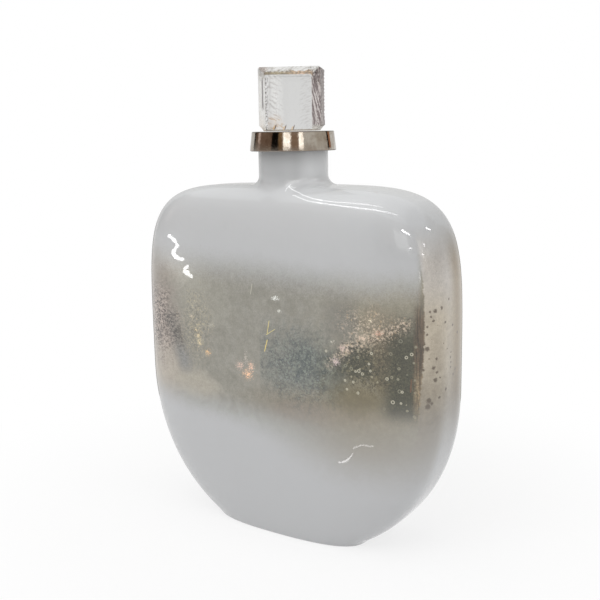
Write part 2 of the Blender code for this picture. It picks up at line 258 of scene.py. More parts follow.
class Finish(Graph):
    """A material's nodes. Lengths are in millimetres of the object, and colours are 0 to 255."""

    def __init__(self, name):
        self.material = bpy.data.materials.new(name)
        super().__init__(self.material)
        self.shader = self.nodes["Principled BSDF"]
        self.place = self.vector("MULTIPLY", self.node("TexCoord").outputs["Object"], (1000, 1000, 1000))
        self.x, self.y, self.z = self.node("SeparateXYZ", self.place).outputs

    def set(self, name, value):
        self.put(self.shader.inputs[name], value)

    def output(self, shader):
        self.put(self.nodes["Material Output"].inputs[0], shader)
        return self.material

    def glow(self, colour):
        """A shader that only glows, in a linear colour."""
        return self.node("Emission", colour).outputs[0]

    def clear(self):
        return self.node("BsdfTransparent").outputs[0]

    def vector(self, operation, *values):
        outputs = self.node("VectorMath", *values, operation=operation).outputs
        return outputs["Value" if operation in ("LENGTH", "DOT_PRODUCT") else "Vector"]

    def length(self, vector):
        return self.vector("LENGTH", vector)

    def combine(self, x, y, z):
        return self.node("CombineXYZ", x, y, z).outputs[0]

    def noise(self, size, detail=2, roughness=0.5, warp=0, at=None, output="Fac"):
        """Noise from 0 to 1, whose features are about this many millimetres across."""
        node = self.node("TexNoise", self.place if at is None else at)
        settings = {"Scale": 1 / size, "Detail": detail, "Roughness": roughness, "Distortion": warp}
        for name, value in settings.items():
            node.inputs[name].default_value = value
        return node.outputs[output]

    def streaks(self, scales, detail=3, roughness=0.6, at=None):
        """Noise of a different scale, in features per millimetre, along X, Y and Z."""
        at = self.vector("MULTIPLY", self.place if at is None else at, scales)
        return self.noise(1, detail, roughness, at=at)

    def cells(self, size, at):
        """Millimetres to the nearest of many scattered points, and two random numbers of that point."""
        node = self.node("TexVoronoi", at)
        node.inputs["Scale"].default_value = 1 / size
        random = self.node("SeparateColor", node.outputs["Color"]).outputs
        return self.mul(node.outputs["Distance"], size), random[0], random[1]

    def mix(self, factor, a, b):
        """From one colour to another as the factor goes from 0 to 1."""
        node = self.node("Mix", factor, data_type="RGBA")
        for socket, value in zip(node.inputs[6:8], (a, b)):
            self.put(socket, linear(*value) if isinstance(value, tuple) else value)
        return node.outputs[2]

    def brighten(self, colour, factor):
        """The colour times a number."""
        node = self.node("VectorMath", colour, operation="SCALE")
        self.put(node.inputs["Scale"], factor)
        return node.outputs["Vector"]

    def bump(self, height, distance, strength, after=None):
        node = self.node("Bump", strength, distance)
        self.put(node.inputs["Height"], height)
        if after is not None:
            self.put(node.inputs["Normal"], after)
        return node.outputs[0]


class Layers:
    """A colour with others laid over it, one after another."""

    def __init__(self, finish, factor, a, b):
        self.finish = finish
        self.colour = finish.mix(factor, a, b)

    def lay(self, colour, strength, *masks):
        """Lays a colour over the rest by its strength, where all its masks are 1."""
        weights = masks if strength == 1 else (*masks, strength)
        self.colour = self.finish.mix(self.finish.mul(*weights), self.colour, colour)

    def brighten(self, factor):
        self.colour = self.finish.brighten(self.colour, factor)


# Flask: mesh


def narrowing(share, curve):
    return max(1 - share**curve, 0) ** (1 / curve)


def skins():
    outer = {
        "a": FLASK_HIGH.x,
        "b": FLASK_HIGH.y,
        "base_a": BASE_WIDTH / 2,
        "base_b": BASE_DEPTH / 2,
        "floor": 0,
        "top": SHOULDER_HEIGHT,
        "tube": NECK_RADIUS,
    }
    inner = {key: value - GLASS_WALL for key, value in outer.items()}
    inner["floor"] = FLOOR_THICKNESS
    return outer, inner


def half_sizes(skin, height):
    if height >= WIDEST_HEIGHT:
        rise = (height - WIDEST_HEIGHT) / (skin["top"] - WIDEST_HEIGHT)
        return skin["a"] * narrowing(rise, SHOULDER_CURVE), skin["b"] * narrowing(rise, CROWN_CURVE)
    drop = (WIDEST_HEIGHT - height) / (WIDEST_HEIGHT - skin["floor"])
    reach_a = narrowing(skin["base_a"] / skin["a"], LOWER_CURVE)
    reach_b = narrowing(skin["base_b"] / skin["b"], LOWER_SIDE_CURVE)
    half_width = skin["a"] * narrowing(drop * reach_a, LOWER_CURVE)
    half_depth = skin["b"] * narrowing(drop * reach_b, LOWER_SIDE_CURVE)
    return half_width, half_depth


def section_curves(height):
    share = min(height / (SQUARING_SHARE * SHOULDER_HEIGHT), 1)
    along_x = BASE_FACE_CURVE + (FACE_CURVE - BASE_FACE_CURVE) * share
    along_y = BASE_END_CURVE + (END_CURVE - BASE_END_CURVE) * share
    return along_x, along_y


ANGLES = np.arange(FLASK_SIDES) * 2 * pi / FLASK_SIDES
CIRCLE = np.stack([np.cos(ANGLES), np.sin(ANGLES)], 1)


def wall_ring(skin, height, inset=0, placed=None):
    """A level ring of the wall, by angle, as rows of x, y and z."""
    half_width, half_depth = half_sizes(skin, height)
    along_x, along_y = section_curves(height)
    x, y = np.abs(np.cos(ANGLES)), np.abs(np.sin(ANGLES))
    low, high = np.ones(FLASK_SIDES), np.full(FLASK_SIDES, 2.0)
    for _ in range(SEARCH_STEPS):
        middle = (low + high) / 2
        inside = (middle * x) ** along_x + (middle * y) ** along_y < 1
        low, high = np.where(inside, middle, low), np.where(inside, high, middle)
    ring = np.empty((FLASK_SIDES, 3))
    ring[:, 0] = (half_width - inset) * low * np.cos(ANGLES)
    ring[:, 1] = (half_depth - inset) * low * np.sin(ANGLES)
    ring[:, 2] = height if placed is None else placed
    return ring


def shoulder_heights(skin, x, y):
    """The height of the skin's upper side over each point."""
    low, high = np.full(len(x), WIDEST_HEIGHT), np.full(len(x), float(skin["top"]))
    for _ in range(SEARCH_STEPS):
        middle = (low + high) / 2
        rise = (middle - WIDEST_HEIGHT) / (skin["top"] - WIDEST_HEIGHT)
        half_width = skin["a"] * np.maximum(1 - rise**SHOULDER_CURVE, TINY) ** (1 / SHOULDER_CURVE)
        half_depth = skin["b"] * np.maximum(1 - rise**CROWN_CURVE, TINY) ** (1 / CROWN_CURVE)
        inside = np.abs(x / half_width) ** FACE_CURVE + np.abs(y / half_depth) ** END_CURVE < 1
        low, high = np.where(inside, middle, low), np.where(inside, high, middle)
    return low


def side_rings(skin, edge, counts):
    """The rings of one skin from the rounding of its floor up to the foot of the neck."""
    walls, shoulders, fillets = counts
    top = skin["floor"] + edge
    rings = []
    for angle in np.linspace(0, FLOOR_ROUND_ANGLE, FLOOR_ROUND_STEPS):
        rings.append(wall_ring(skin, top, edge * (1 - sin(angle)), top - edge * cos(angle)))
    for share in np.linspace(0.02, 1, walls, endpoint=False):
        rings.append(wall_ring(skin, top + (WIDEST_HEIGHT - top) * share))
    foot = skin["tube"] + NECK_FILLET
    wanted = foot + (skin["b"] - foot) / 4
    crown = WIDEST_HEIGHT + (skin["top"] - WIDEST_HEIGHT) * narrowing(wanted / skin["b"], CROWN_CURVE)
    for share in np.linspace(0, 1, walls):
        eased = sin(share * pi / 2)
        rings.append(wall_ring(skin, WIDEST_HEIGHT + (crown - WIDEST_HEIGHT) * eased))
    start = rings[-1]
    for share in np.linspace(0, 1, shoulders + 1)[1:]:
        eased = share**SHOULDER_EASE
        flat = start[:, :2] + (foot * CIRCLE - start[:, :2]) * eased
        rings.append(np.column_stack([flat, shoulder_heights(skin, flat[:, 0], flat[:, 1])]))
    for share in np.linspace(0, 1, fillets + 1)[1:]:
        inward = NECK_FILLET * sin(share * pi / 2)
        lift = NECK_FILLET - sqrt(max(NECK_FILLET**2 - inward**2, 0))
        flat = (foot - inward) * CIRCLE
        rings.append(np.column_stack([flat, shoulder_heights(skin, flat[:, 0], flat[:, 1]) + lift]))
    return rings


def neck_outline():
    middle = (NECK_RADIUS + BORE_RADIUS) / 2
    half_wall = GLASS_WALL / 2
    outline = [(NECK_RADIUS, MOUTH_HEIGHT - share * NECK_RUN) for share in NECK_RUN_SHARES]
    for angle in np.linspace(0, pi, LIP_STEPS):
        outline.append((middle + half_wall * cos(angle), MOUTH_HEIGHT - LIP_ROUND * (1 - sin(angle))))
    return outline


def flask_mesh():
    outer, inner = skins()
    rim = wall_ring(outer, BASE_EDGE, BASE_EDGE + STANDING_RIM, 0)
    rings = [np.array([[0, 0, PUSH_UP]])]
    for share in PUSH_UP_SHARES:
        ring = rim * share
        ring[:, 2] = PUSH_UP * (1 - share**2)
        rings.append(ring)
    rings.append(rim)
    rings += side_rings(outer, BASE_EDGE, OUTER_RINGS)
    for radius, height in neck_outline():
        rings.append(np.column_stack([radius * CIRCLE, np.full(FLASK_SIDES, height)]))
    inside = side_rings(inner, FLOOR_EDGE, INNER_RINGS)
    rings += inside[::-1]
    floor = inside[0] * HOLLOW_FLOOR_SHARE
    floor[:, 2] = FLOOR_THICKNESS
    rings += [floor, np.array([[0, 0, FLOOR_THICKNESS]])]
    return mesh_of_rings("flask", rings)


# Places named by a pixel of the photograph, found on the flask's surface


def camera_matrix():
    pitch = atan((PHOTO_SIZE / 2 - EYE_LEVEL_PIXEL) / FOCAL_PIXELS)
    place = Matrix.Translation(
        (CAMERA_DISTANCE * sin(CAMERA_AZIMUTH), -CAMERA_DISTANCE * cos(CAMERA_AZIMUTH), CAMERA_HEIGHT)
    )
    heading = Matrix.Rotation(CAMERA_AZIMUTH - CAMERA_YAW, 4, "Z")
    tilt = Matrix.Rotation(pi / 2 - pitch, 4, "X")
    roll = Matrix.Rotation(CAMERA_ROLL, 4, "Z")
    return place @ heading @ tilt @ roll


class Sight:
    """Finds where the camera's line through a pixel meets a mesh, and where it is mirrored to."""

    def __init__(self, mesh):
        self.mesh = mesh
        self.tree = BVHTree.FromPolygons([v.co for v in mesh.vertices], [p.vertices for p in mesh.polygons])
        self.normals = [v.normal.copy() for v in mesh.vertices]

    def hit(self, pixel):
        matrix = camera_matrix()
        across, down = (pixel[0] - PHOTO_SIZE / 2) / FOCAL_PIXELS, (pixel[1] - PHOTO_SIZE / 2) / FOCAL_PIXELS
        along = (matrix.to_3x3() @ Vector((across, -down, -1))).normalized()
        point, _, face, _ = self.tree.ray_cast(matrix.translation, along)
        if point is None:
            return None
        corners = self.mesh.polygons[face].vertices
        weights = poly_3d_calc([self.mesh.vertices[i].co for i in corners], point)
        normal = Vector((0, 0, 0))
        for corner, weight in zip(corners, weights):
            normal += self.normals[corner] * weight
        return point, normal.normalized(), along

    def place(self, pixel):
        """The place on the surface in millimetres."""
        return self.hit(pixel)[0] / MM

    def mirrored(self, pixel, distance):
        found = self.hit(pixel)
        if found is None:
            return None
        point, normal, along = found
        return point + (along - normal * 2 * along.dot(normal)) * distance


# Flask: finish

WHITE_COAT = (193, 194, 195)
WHITE_BLUISH = (195, 196, 198)
SILVER = (152, 149, 139)

# Broad tones of the silver on the front, in painting order, the darkest of them, on the right, painted dark
# reflection: x and z of the middle, half width and half height in millimetres, softness, unevenness, strength
# and colour
ZONES = (
    (-92, 104, 22, 22, 0.6, 0.35, 0.9, (180, 171, 158)),
    (-60, 96, 24, 11, 0.6, 0.35, 0.8, (178, 171, 157)),
    (-92, 152, 19, 22, 0.6, 0.35, 0.5, (138, 130, 120)),
    (-50, 152, 26, 18, 0.6, 0.35, 0.7, (155, 152, 140)),
    (40, 94, 60, 14, 0.8, 0.35, 0.75, (136, 126, 108)),
    (77, 152, 16, 12, 0.7, 0.5, 0.7, (146, 137, 122)),
    (50, 118, 15, 17, 0.8, 0.5, 0.9, (90, 92, 82)),
    (82, 128, 12, 20, 0.6, 0.5, 0.9, (102, 92, 74)),
    (65, 126, 17, 14, 0.6, 0.5, 0.95, (68, 68, 54)),
    (66, 105, 26, 13, 0.7, 0.4, 0.85, (112, 104, 80)),
    (26, 90, 26, 8, 0.6, 0.35, 0.6, (138, 127, 114)),
)

# Dark dots on the right end and pale rings on the front: pixel and radius in millimetres
SIDE_DOTS = (
    (435.3, 311, 1.3), (441.8, 308, 1.1), (430, 312, 0.8), (433.5, 321, 0.8), (445.4, 322, 1.0),
    (452.4, 325, 1.0), (448.9, 299, 0.9), (427, 335, 0.7), (427.3, 327, 0.7), (427.2, 349, 1.5),
    (443.6, 343, 0.5), (447, 349, 0.6), (436.5, 359, 1.0), (428.8, 359, 0.5), (433.5, 368, 1.2),
    (437, 372.4, 0.9), (435.3, 380, 1.4), (440, 377.4, 0.7), (453, 374, 1.0), (455, 368.6, 0.9),
    (451, 352, 0.8), (450.5, 357, 0.9), (451, 362, 0.8), (450.4, 367, 0.8), (446, 389, 1.2),
    (428.8, 401, 1.7), (428, 407, 1.9), (431.6, 403.6, 1.0), (439.4, 397.5, 0.9), (431, 317, 0.7),
    (424.8, 344, 0.6), (457.2, 332, 1.0), (422.9, 370, 1.0),
)
BUBBLES = (
    (406.4, 357.6, 1.0), (411.7, 354.4, 1.0), (402.2, 392.2, 0.8), (392.8, 402.3, 1.2),
    (401, 403.5, 0.6), (387, 379, 1.0), (358.8, 371, 1.1), (362.4, 374, 0.9), (355.5, 371.5, 0.7),
    (371.5, 353.5, 0.9), (369, 364, 0.7), (347, 389.3, 0.7), (358, 393, 0.9), (353.2, 382, 0.7),
    (326, 351, 0.8), (345, 380.4, 0.7), (370.4, 371, 0.7),
)
# Bright flecks: pixel, half width and half height in millimetres, strength and colour
FLECKS = (
    (247.7, 374.0, 7.4, 5.4, 1.0, (255, 206, 166)),
    (251, 367, 4.4, 6.4, 0.8, (250, 206, 178)),
    (240, 365.5, 5.0, 5.0, 0.7, (240, 204, 186)),
    (246, 358, 3.0, 7.0, 0.6, (214, 202, 190)),
    (208, 352.6, 4.2, 4.6, 0.9, (240, 198, 148)),
    (199.8, 342.5, 2.8, 5.4, 0.9, (238, 218, 176)),
    (198.0, 336.0, 3.8, 4.2, 0.8, (232, 212, 172)),
    (196, 329, 2.2, 3.0, 0.8, (236, 214, 170)),
    (191.5, 316, 2.4, 3.4, 0.7, (222, 206, 180)),
    (211, 325, 4.2, 2.6, 0.6, (214, 206, 190)),
    (275, 298.4, 4.6, 2.8, 1.0, (240, 240, 234)),
    (278.4, 311, 2.8, 1.8, 0.9, (226, 224, 214)),
    (332.4, 342, 3.4, 2.0, 0.9, (212, 206, 190)),
    (343, 348.5, 5.4, 3.6, 0.9, (222, 196, 188)),
    (336, 362, 4.8, 4.4, 0.9, (216, 196, 192)),
    (362, 338.5, 7.0, 3.4, 0.9, (224, 200, 178)),
    (378, 334, 5.0, 3.4, 0.8, (218, 172, 148)),
    (370.4, 320.6, 1.6, 1.6, 1.0, (240, 230, 200)),
)
# Fine scratches: two pixels, half width in millimetres, strength and colour
SCRATCHES = (
    ((269, 321), (267.2, 333), 0.22, 0.9, (236, 216, 132)),
    ((266.4, 334.6), (274.6, 329.4), 0.2, 0.8, (232, 216, 140)),
    ((267.2, 340), (264.6, 351), 0.26, 1.0, (240, 214, 120)),
    ((252, 284), (250.4, 294), 0.22, 0.6, (212, 206, 186)),
    ((411.5, 380), (410.5, 392), 0.4, 0.4, (140, 88, 60)),
)
# Lines by pixels: the dusty ridge, its bright crest and the smear at the left
RIDGE = ((344, 350), (402, 327))
CREST = ((329, 364), (346, 349), (403, 326))
SMEAR = ((172, 318), (185, 361))
# Thin painted highlight lines at the foot of the neck, where the glass curls the reflection: strength and
# path in pixels
PAINTED_HIGHLIGHT_CURLS = (
    (0.8, ((289.2, 187), (292.2, 189.4), (295, 190.9), (298.8, 192.6), (302.6, 194.9), (307.6, 196.7),
           (312.9, 198.6), (322, 200.4))),
    (0.7, ((292.8, 195.3), (295.2, 195.7), (298.4, 197.3), (303.4, 199.3), (307.4, 200.8), (313, 201.9),
           (322, 203.3))),
    (0.5, ((290.6, 184.6), (288.9, 186.3), (286.6, 188.6), (285.4, 191))),
    (0.35, ((289, 186.2), (291.6, 186.8), (294, 188), (295.6, 187.4))),
)


# The silvered band: height of its edges at the middle of the front, and how they slope, bow and rise
BAND_TOP = 174.5
BAND_TOP_SLOPE = -0.055
BAND_TOP_RISE = 22
BAND_FOOT = 80.5
BAND_FOOT_BOW = 0.0006


class FlaskFinish(Finish):
    """The flask's material, with the noises and masks that its layers share."""

    def __init__(self, sight):
        super().__init__("silvered_glass")
        self.sight = sight
        self.cloud = self.noise(11, 5, 0.62, warp=0.6)
        self.mottle = self.noise(3.2, 4, 0.6)
        self.grain = self.noise(0.9, 2, 0.7)
        self.crumbs = self.muladd(self.noise(0.9, 4, 0.9), 4.4, -2.2)
        self.rough_edge = self.add(self.muladd(self.cloud, 14, -7), self.muladd(self.mottle, 6, -3))
        shake = self.vector("SUBTRACT", self.noise(1.3, output="Color"), (0.5, 0.5, 0.5))
        self.shaken = self.vector("ADD", self.place, self.vector("MULTIPLY", shake, (1.6, 1.6, 1.6)))
        self.nudged = self.vector("ADD", self.place, self.vector("MULTIPLY", shake, (0.5, 0.5, 0.5)))
        self.front = self.fall(self.y, -16, -8)

    def area(self, x, z, half_x, half_z, soft=0.6, uneven=0.35, only=None):
        """A soft-edged oval, 0 to 1, on the front unless another mask is given."""
        away = self.vector("SUBTRACT", self.combine(self.x, 0, self.z), (x, 0, z))
        away = self.length(self.vector("DIVIDE", away, (half_x, 1, half_z)))
        distance = self.muladd(self.rough_edge, uneven / 6, away)
        return self.mul(self.fall(distance, 1 - soft, 1 + soft * 0.4), self.front if only is None else only)

    def from_pixel(self, across, down, at):
        """The way, as a vector, from the place on the glass that a pixel shows."""
        return self.vector("SUBTRACT", at, tuple(self.sight.place((across, down))))

    def from_line(self, start, end, at):
        """Millimetres from the straight line between two places named by pixels."""
        run = tuple(self.sight.place(end) - self.sight.place(start))
        away = self.from_pixel(*start, at)
        share = self.math("DIVIDE", self.vector("DOT_PRODUCT", away, run), Vector(run).length_squared)
        share = self.math("MAXIMUM", self.math("MINIMUM", share, 1), 0)
        nearest = self.vector("MULTIPLY", self.combine(share, share, share), run)
        return self.length(self.vector("SUBTRACT", away, nearest))

    def specks(self, size, low, high, share, ring=None):
        """Round marks, or rings, in a share of the cells, and a random number for each."""
        distance, pick, girth = self.cells(size, self.shaken if ring is None else self.nudged)
        off_edge = self.sub(distance, self.muladd(girth, high - low, low))
        chosen = self.step(pick, 1 - share - 0.01, 1 - share + 0.01)
        if ring is None:
            return self.mul(self.fall(off_edge, -0.2, 0.14), chosen), girth
        return self.mul(self.fall(self.size(off_edge), ring * 0.4, ring), chosen), girth


def band_edges(g):
    """The height of the band's upper edge, and a mask of what is bare of silver above and below it."""
    on_right = g.mul(g.step(g.x, 84, 94), g.step(g.y, -26, -22))
    upper = g.muladd(on_right, BAND_TOP_RISE, g.muladd(g.x, BAND_TOP_SLOPE, BAND_TOP))
    upper = g.muladd(g.step(g.x, 70, 100), 4, upper)
    lower = g.muladd(g.step(g.x, -40, 20), -4, g.muladd(g.mul(g.x, g.x), BAND_FOOT_BOW, BAND_FOOT))
    speckled = g.muladd(g.sub(g.grain, 0.5), 9, g.muladd(g.rough_edge, 0.45, g.z))
    above = g.step(g.sub(speckled, upper), -12, 15)
    fade = g.step(g.x, -40, 70, 11, 22)
    below = g.step(g.math("DIVIDE", g.sub(lower, speckled), fade), -1.3, 1)
    return upper, g.largest(above, below)


def white_coat(g, upper):
    """The white, smoky above the band, warm and dull below it on the right, with painted light on the top of
    the shoulder, painted shade low on the ends, painted shade and light across the neck, painted shade up the
    neck under the collar and painted highlight lines at its foot.
    """
    white = Layers(g, g.fall(g.z, 30, 150), WHITE_COAT, WHITE_BLUISH)
    white.brighten(g.muladd(g.noise(26, 3, 0.55), 0.04, 0.98))
    white.lay((173, 174, 175), 0.55, g.fall(g.sub(g.muladd(g.rough_edge, 0.6, g.z), upper), 6, 40))
    white.lay((164, 165, 167), 0.3, g.area(92, 204, 24, 28, soft=0.9, uneven=0.15))
    white.lay((150, 144, 134), 0.8, g.area(70, 80, 62, 30, soft=0.95, uneven=0.15))
    rightward = g.muladd(g.x, cos(CAMERA_AZIMUTH), g.mul(g.y, sin(CAMERA_AZIMUTH)))
    on_neck = g.step(g.z, 224, 238)
    crown = g.mul(g.step(g.z, 212, 226), g.sub(1, on_neck))
    shaded_ends = g.mul(g.step(g.size(g.x), 76, 100), g.step(g.y, -16, -2), g.step(g.y, 24, 12))
    # Painted light: the top of the shoulder lighter, where it faces up
    white.brighten(g.muladd(crown, 0.08, 1))
    # Painted shade low on both ends
    white.brighten(g.muladd(shaded_ends, g.step(g.z, 170, 205, -0.16, 0), 1))
    # Painted shade on the left of the neck and painted light on its right
    white.brighten(g.muladd(on_neck, g.step(rightward, 0, 12, -0.22, 0.2), 1))
    # Painted shade up the neck, under the collar
    white.brighten(g.step(g.z, 238, 252, 1, 0.74))
    white.lay((196, 206, 200), 1, g.step(g.z, 257.6, 258.4))
    # Painted highlight lines where the foot of the neck curls the reflection
    for strength, path in PAINTED_HIGHLIGHT_CURLS:
        for start, end in zip(path, path[1:]):
            white.lay((246, 247, 248), strength, g.fall(g.from_line(start, end, g.place), 0.16, 0.56))
    return white.colour


def tarnish_and_reflection_masks(g):
    """Where each kind of tarnish lies on the silver, where the painted dark reflection by the right corner
    lies, and where the right end is.
    """
    at = SimpleNamespace()
    patches = g.noise(34, 3, 0.5, warp=0.8)
    behind = g.step(g.y, 4, 14)
    at.dim = g.mul(g.step(patches, 0.46, 0.7), behind)
    at.pale = g.mul(g.step(patches, 0.48, 0.28), behind)
    left_of_seam = g.mul(g.front, g.step(g.x, -6.5, -4.5))
    at.cloud = g.area(24, 119, 35, 27, soft=0.7, uneven=0.5, only=left_of_seam)
    at.olive = g.area(70, 125, 22, 18, soft=0.5, uneven=0.5)
    # Painted dark reflection: an upright stretch on the front by the right corner
    across = g.mul(g.step(g.muladd(g.mottle, 9, g.x), 81, 94), g.step(g.muladd(g.mottle, 2, g.x), 106, 101))
    upward = g.mul(g.step(g.z, 88, 101), g.step(g.muladd(g.rough_edge, 1.2, g.z), 166, 140))
    at.dark = g.mul(across, upward, g.front)
    at.left = g.area(-95, 137, 22, 27, soft=0.8, uneven=0.6, only=g.step(g.y, 6, 0))
    at.diagonal = g.area(-58, 136, 15, 26, soft=0.9, uneven=0.6)
    on_ridge = g.muladd(g.rough_edge, 0.7, g.from_line(*RIDGE, g.place))
    ridge = g.mul(g.fall(on_ridge, 1, 8), g.front)
    at.dust = g.largest(g.mul(ridge, 0.9), g.mul(g.area(72, 148, 20, 14, soft=0.9, uneven=0.6), 0.8))

    # The jagged seam between the front and the right end
    notch = g.streaks((0, 0, 0.3), roughness=0.7)
    seam = g.add(g.step(g.z, 92, 150, -25.6, -24.0), g.muladd(notch, 2.6, -1.3))
    at.end = g.mul(g.step(g.sub(g.y, seam), -0.3, 0.35), g.step(g.x, 84, 92), g.step(g.y, 29, 20))
    at.before_end = g.sub(1, at.end)
    return at


def broad_tones(g, at):
    """The silver's broad tones, from the left of the front to its right end, with the painted dark reflection
    by the right corner of the front and the right end painted lighter for the light it catches.
    """
    silver = Layers(g, g.step(g.cloud, 0.35, 0.7), SILVER, (141, 138, 127))
    silver.lay((158, 149, 138), 1, g.step(g.x, -60, -100))
    silver.lay((108, 106, 94), 0.8, at.dim)
    silver.lay((176, 166, 148), 0.6, at.pale)
    silver.lay((116, 118, 113), 0.9, at.cloud)
    silver.lay((88, 96, 94), 0.7, g.area(30, 122, 16, 14, soft=0.8, uneven=0.6))
    for x, z, half_x, half_z, soft, uneven, strength, colour in ZONES:
        silver.lay(colour, strength, g.area(x, z, half_x, half_z, soft, uneven))
    short_of_fold = g.mul(g.front, g.step(g.x, 67.2, 65.8))
    silver.lay((122, 121, 118), 0.7, g.area(56, 150, 15, 21, 0.9, 0.4, only=short_of_fold))
    # Painted dark reflection on the front by the right corner, streaked in the corner itself
    silver.lay((66, 66, 54), 0.95, at.dark)
    streaked = g.step(g.streaks((1.4, 1.4, 0.12)), 0.35, 0.65)
    corner = g.mul(g.step(g.x, 98, 101.5), g.step(g.z, 90, 106), g.step(g.add(g.rough_edge, g.z), 178, 152))
    deep = g.mix(streaked, (60, 51, 43), (112, 94, 78))
    light = g.mix(streaked, (112, 98, 80), (160, 144, 120))
    silver.lay(g.mix(g.step(g.z, 112, 130), light, deep), 0.9, corner)

    # The right end catches more light
    end = Layers(g, g.step(g.cloud, 0.35, 0.7), (190, 179, 160), (172, 161, 143))
    end.lay((196, 190, 183), 1, g.step(g.z, 152, 184))
    end.lay(g.mix(g.step(g.z, 130, 175), (138, 120, 88), (148, 131, 104)), 1, g.step(g.y, -9, 6))
    end.lay((170, 151, 114), 1, g.step(g.y, 9, 20))
    end.brighten(g.step(g.z, 92, 142, 0.57, 1))
    silver.lay(end.colour, 1, at.end)
    return silver


def fine_tarnish(g, at, silver):
    """Mottling, dust and specks, each in its own mask."""
    contrast = g.mul(g.largest(at.cloud, at.olive, at.dust, at.dark), at.before_end)
    contrast = g.muladd(g.largest(contrast, at.dim), 1.5, 0.5)
    silver.brighten(g.muladd(g.mottle, 0.4, 0.73))
    silver.brighten(g.muladd(contrast, g.sub(g.grain, 0.5), 1))

    def sprinkle(marks, colour, other, strength, *masks):
        shapes, pick = marks
        silver.lay(g.mix(pick, colour, other), strength, shapes, *masks)

    fine = g.specks(1.6, 0.2, 0.6, 0.7)
    coarse = g.specks(2.7, 0.3, 0.9, 0.6)
    crumble = g.noise(1.5, 3, 0.75)
    light = g.step(crumble, 0.54, 0.62)
    shade = g.step(crumble, 0.47, 0.4)
    clusters = g.step(g.mottle, 0.42, 0.58)
    drifts = g.noise(7, 3, 0.6, warp=1.2)
    silver.lay((136, 140, 132), 0.5, g.step(drifts, 0.52, 0.64), at.cloud)
    silver.lay((74, 82, 84), 0.55, g.step(drifts, 0.48, 0.38), at.cloud)
    sprinkle(fine, (150, 168, 148), (146, 152, 162), 0.4, at.cloud, clusters)
    silver.lay((82, 88, 84), 0.5, shade, at.cloud)
    silver.lay((150, 158, 144), 0.45, light, at.cloud)
    silver.lay((232, 214, 200), 0.75, light, at.dust)
    silver.lay((92, 82, 70), 0.6, shade, at.dust)
    sprinkle(fine, (246, 226, 214), (210, 184, 150), 0.8, at.dust)
    crest_crumbs = g.mul(g.step(crumble, 0.46, 0.58), g.step(g.mottle, 0.36, 0.54))
    for start, end in zip(CREST, CREST[1:]):
        crest = g.fall(g.muladd(g.rough_edge, 0.35, g.from_line(start, end, g.shaken)), 0.5, 4.5)
        silver.lay((230, 210, 196), 0.6, crest_crumbs, crest, g.front, at.before_end)
    silver.lay((46, 46, 36), 0.7, shade, at.olive)
    silver.lay((140, 132, 104), 0.45, light, at.olive)
    sprinkle(fine, (196, 188, 164), (60, 58, 46), 0.6, at.olive)
    sprinkle(fine, (118, 130, 112), (48, 50, 40), 0.5, at.dark)
    silver.lay((98, 100, 80), 0.4, light, at.dark)
    silver.lay((160, 154, 136), 0.5, light, at.dim)
    sprinkle(fine, (188, 182, 160), (70, 68, 58), 0.6, at.dim, clusters)
    sprinkle(coarse, (112, 100, 88), (206, 190, 160), 0.5, at.pale, clusters)
    ringed = g.largest(at.olive, at.dark, g.mul(at.cloud, 0.5), at.dim)
    rings = g.specks(4.2, 0.4, 1.0, 0.4, ring=0.34)
    sprinkle(rings, (190, 184, 162), (150, 150, 136), 0.55, ringed, at.before_end)

    # Flaking at the left, where the silver is thin
    flakes = g.streaks((0.4, 0.6, 0.7), 4, 0.85)
    silver.lay((168, 153, 143), 0.7, at.left)
    silver.lay((52, 42, 38), 0.92, g.step(flakes, 0.52, 0.44), at.left)
    silver.lay((216, 200, 188), 0.6, g.step(flakes, 0.56, 0.62), at.left)
    smear = g.muladd(g.rough_edge, 0.6, g.from_line(*SMEAR, g.shaken))
    smear = g.fall(smear, -2, 11)
    silver.lay((122, 117, 110), 0.7, smear)
    silver.lay((150, 152, 152), 0.6, g.step(g.z, 126, 114), smear)
    silver.lay((60, 56, 52), 0.85, g.step(flakes, 0.54, 0.46), smear, g.step(g.z, 110, 126, 0.35, 1))
    sprinkle(fine, (232, 212, 160), (200, 188, 158), 0.75, at.diagonal, clusters)
    silver.lay((196, 180, 144), 0.6, light, at.diagonal)
    silver.lay((96, 88, 74), 0.6, shade, at.diagonal)
    sprinkle(coarse, (112, 102, 88), (140, 128, 110), 0.5, at.end, g.step(g.noise(7, 2), 0.56, 0.62))
    warmer = g.vector("MULTIPLY", silver.colour, (1.04, 1.0, 0.9))
    silver.lay(warmer, 1, g.step(g.x, 24, 70), g.front, at.before_end)


def single_marks(g, silver):
    """The dots, rings, flecks and scratches that have a place of their own."""
    for across, down, radius in SIDE_DOTS:
        distance = g.math("DIVIDE", g.length(g.from_pixel(across, down, g.shaken)), radius)
        silver.lay((88, 76, 62), 0.9, g.fall(g.muladd(g.crumbs, 0.2, distance), 0.5, 1.3))
    for across, down, radius in BUBBLES:
        off_ring = g.size(g.sub(g.length(g.from_pixel(across, down, g.nudged)), radius * 0.75))
        silver.lay((206, 200, 178), 0.75, g.fall(g.muladd(g.crumbs, 0.12, off_ring), 0.1, 0.42))
    for across, down, half_x, half_z, strength, colour in FLECKS:
        away = g.vector("DIVIDE", g.from_pixel(across, down, g.shaken), (half_x, half_x * 2, half_z))
        silver.lay(colour, strength, g.fall(g.muladd(g.length(away), 0.9, g.crumbs), 0.05, 0.4))
    for start, end, half_width, strength, colour in SCRATCHES:
        away = g.muladd(g.crumbs, 0.1, g.from_line(start, end, g.nudged))
        silver.lay(colour, strength, g.fall(away, half_width * 0.4, half_width * 1.6))


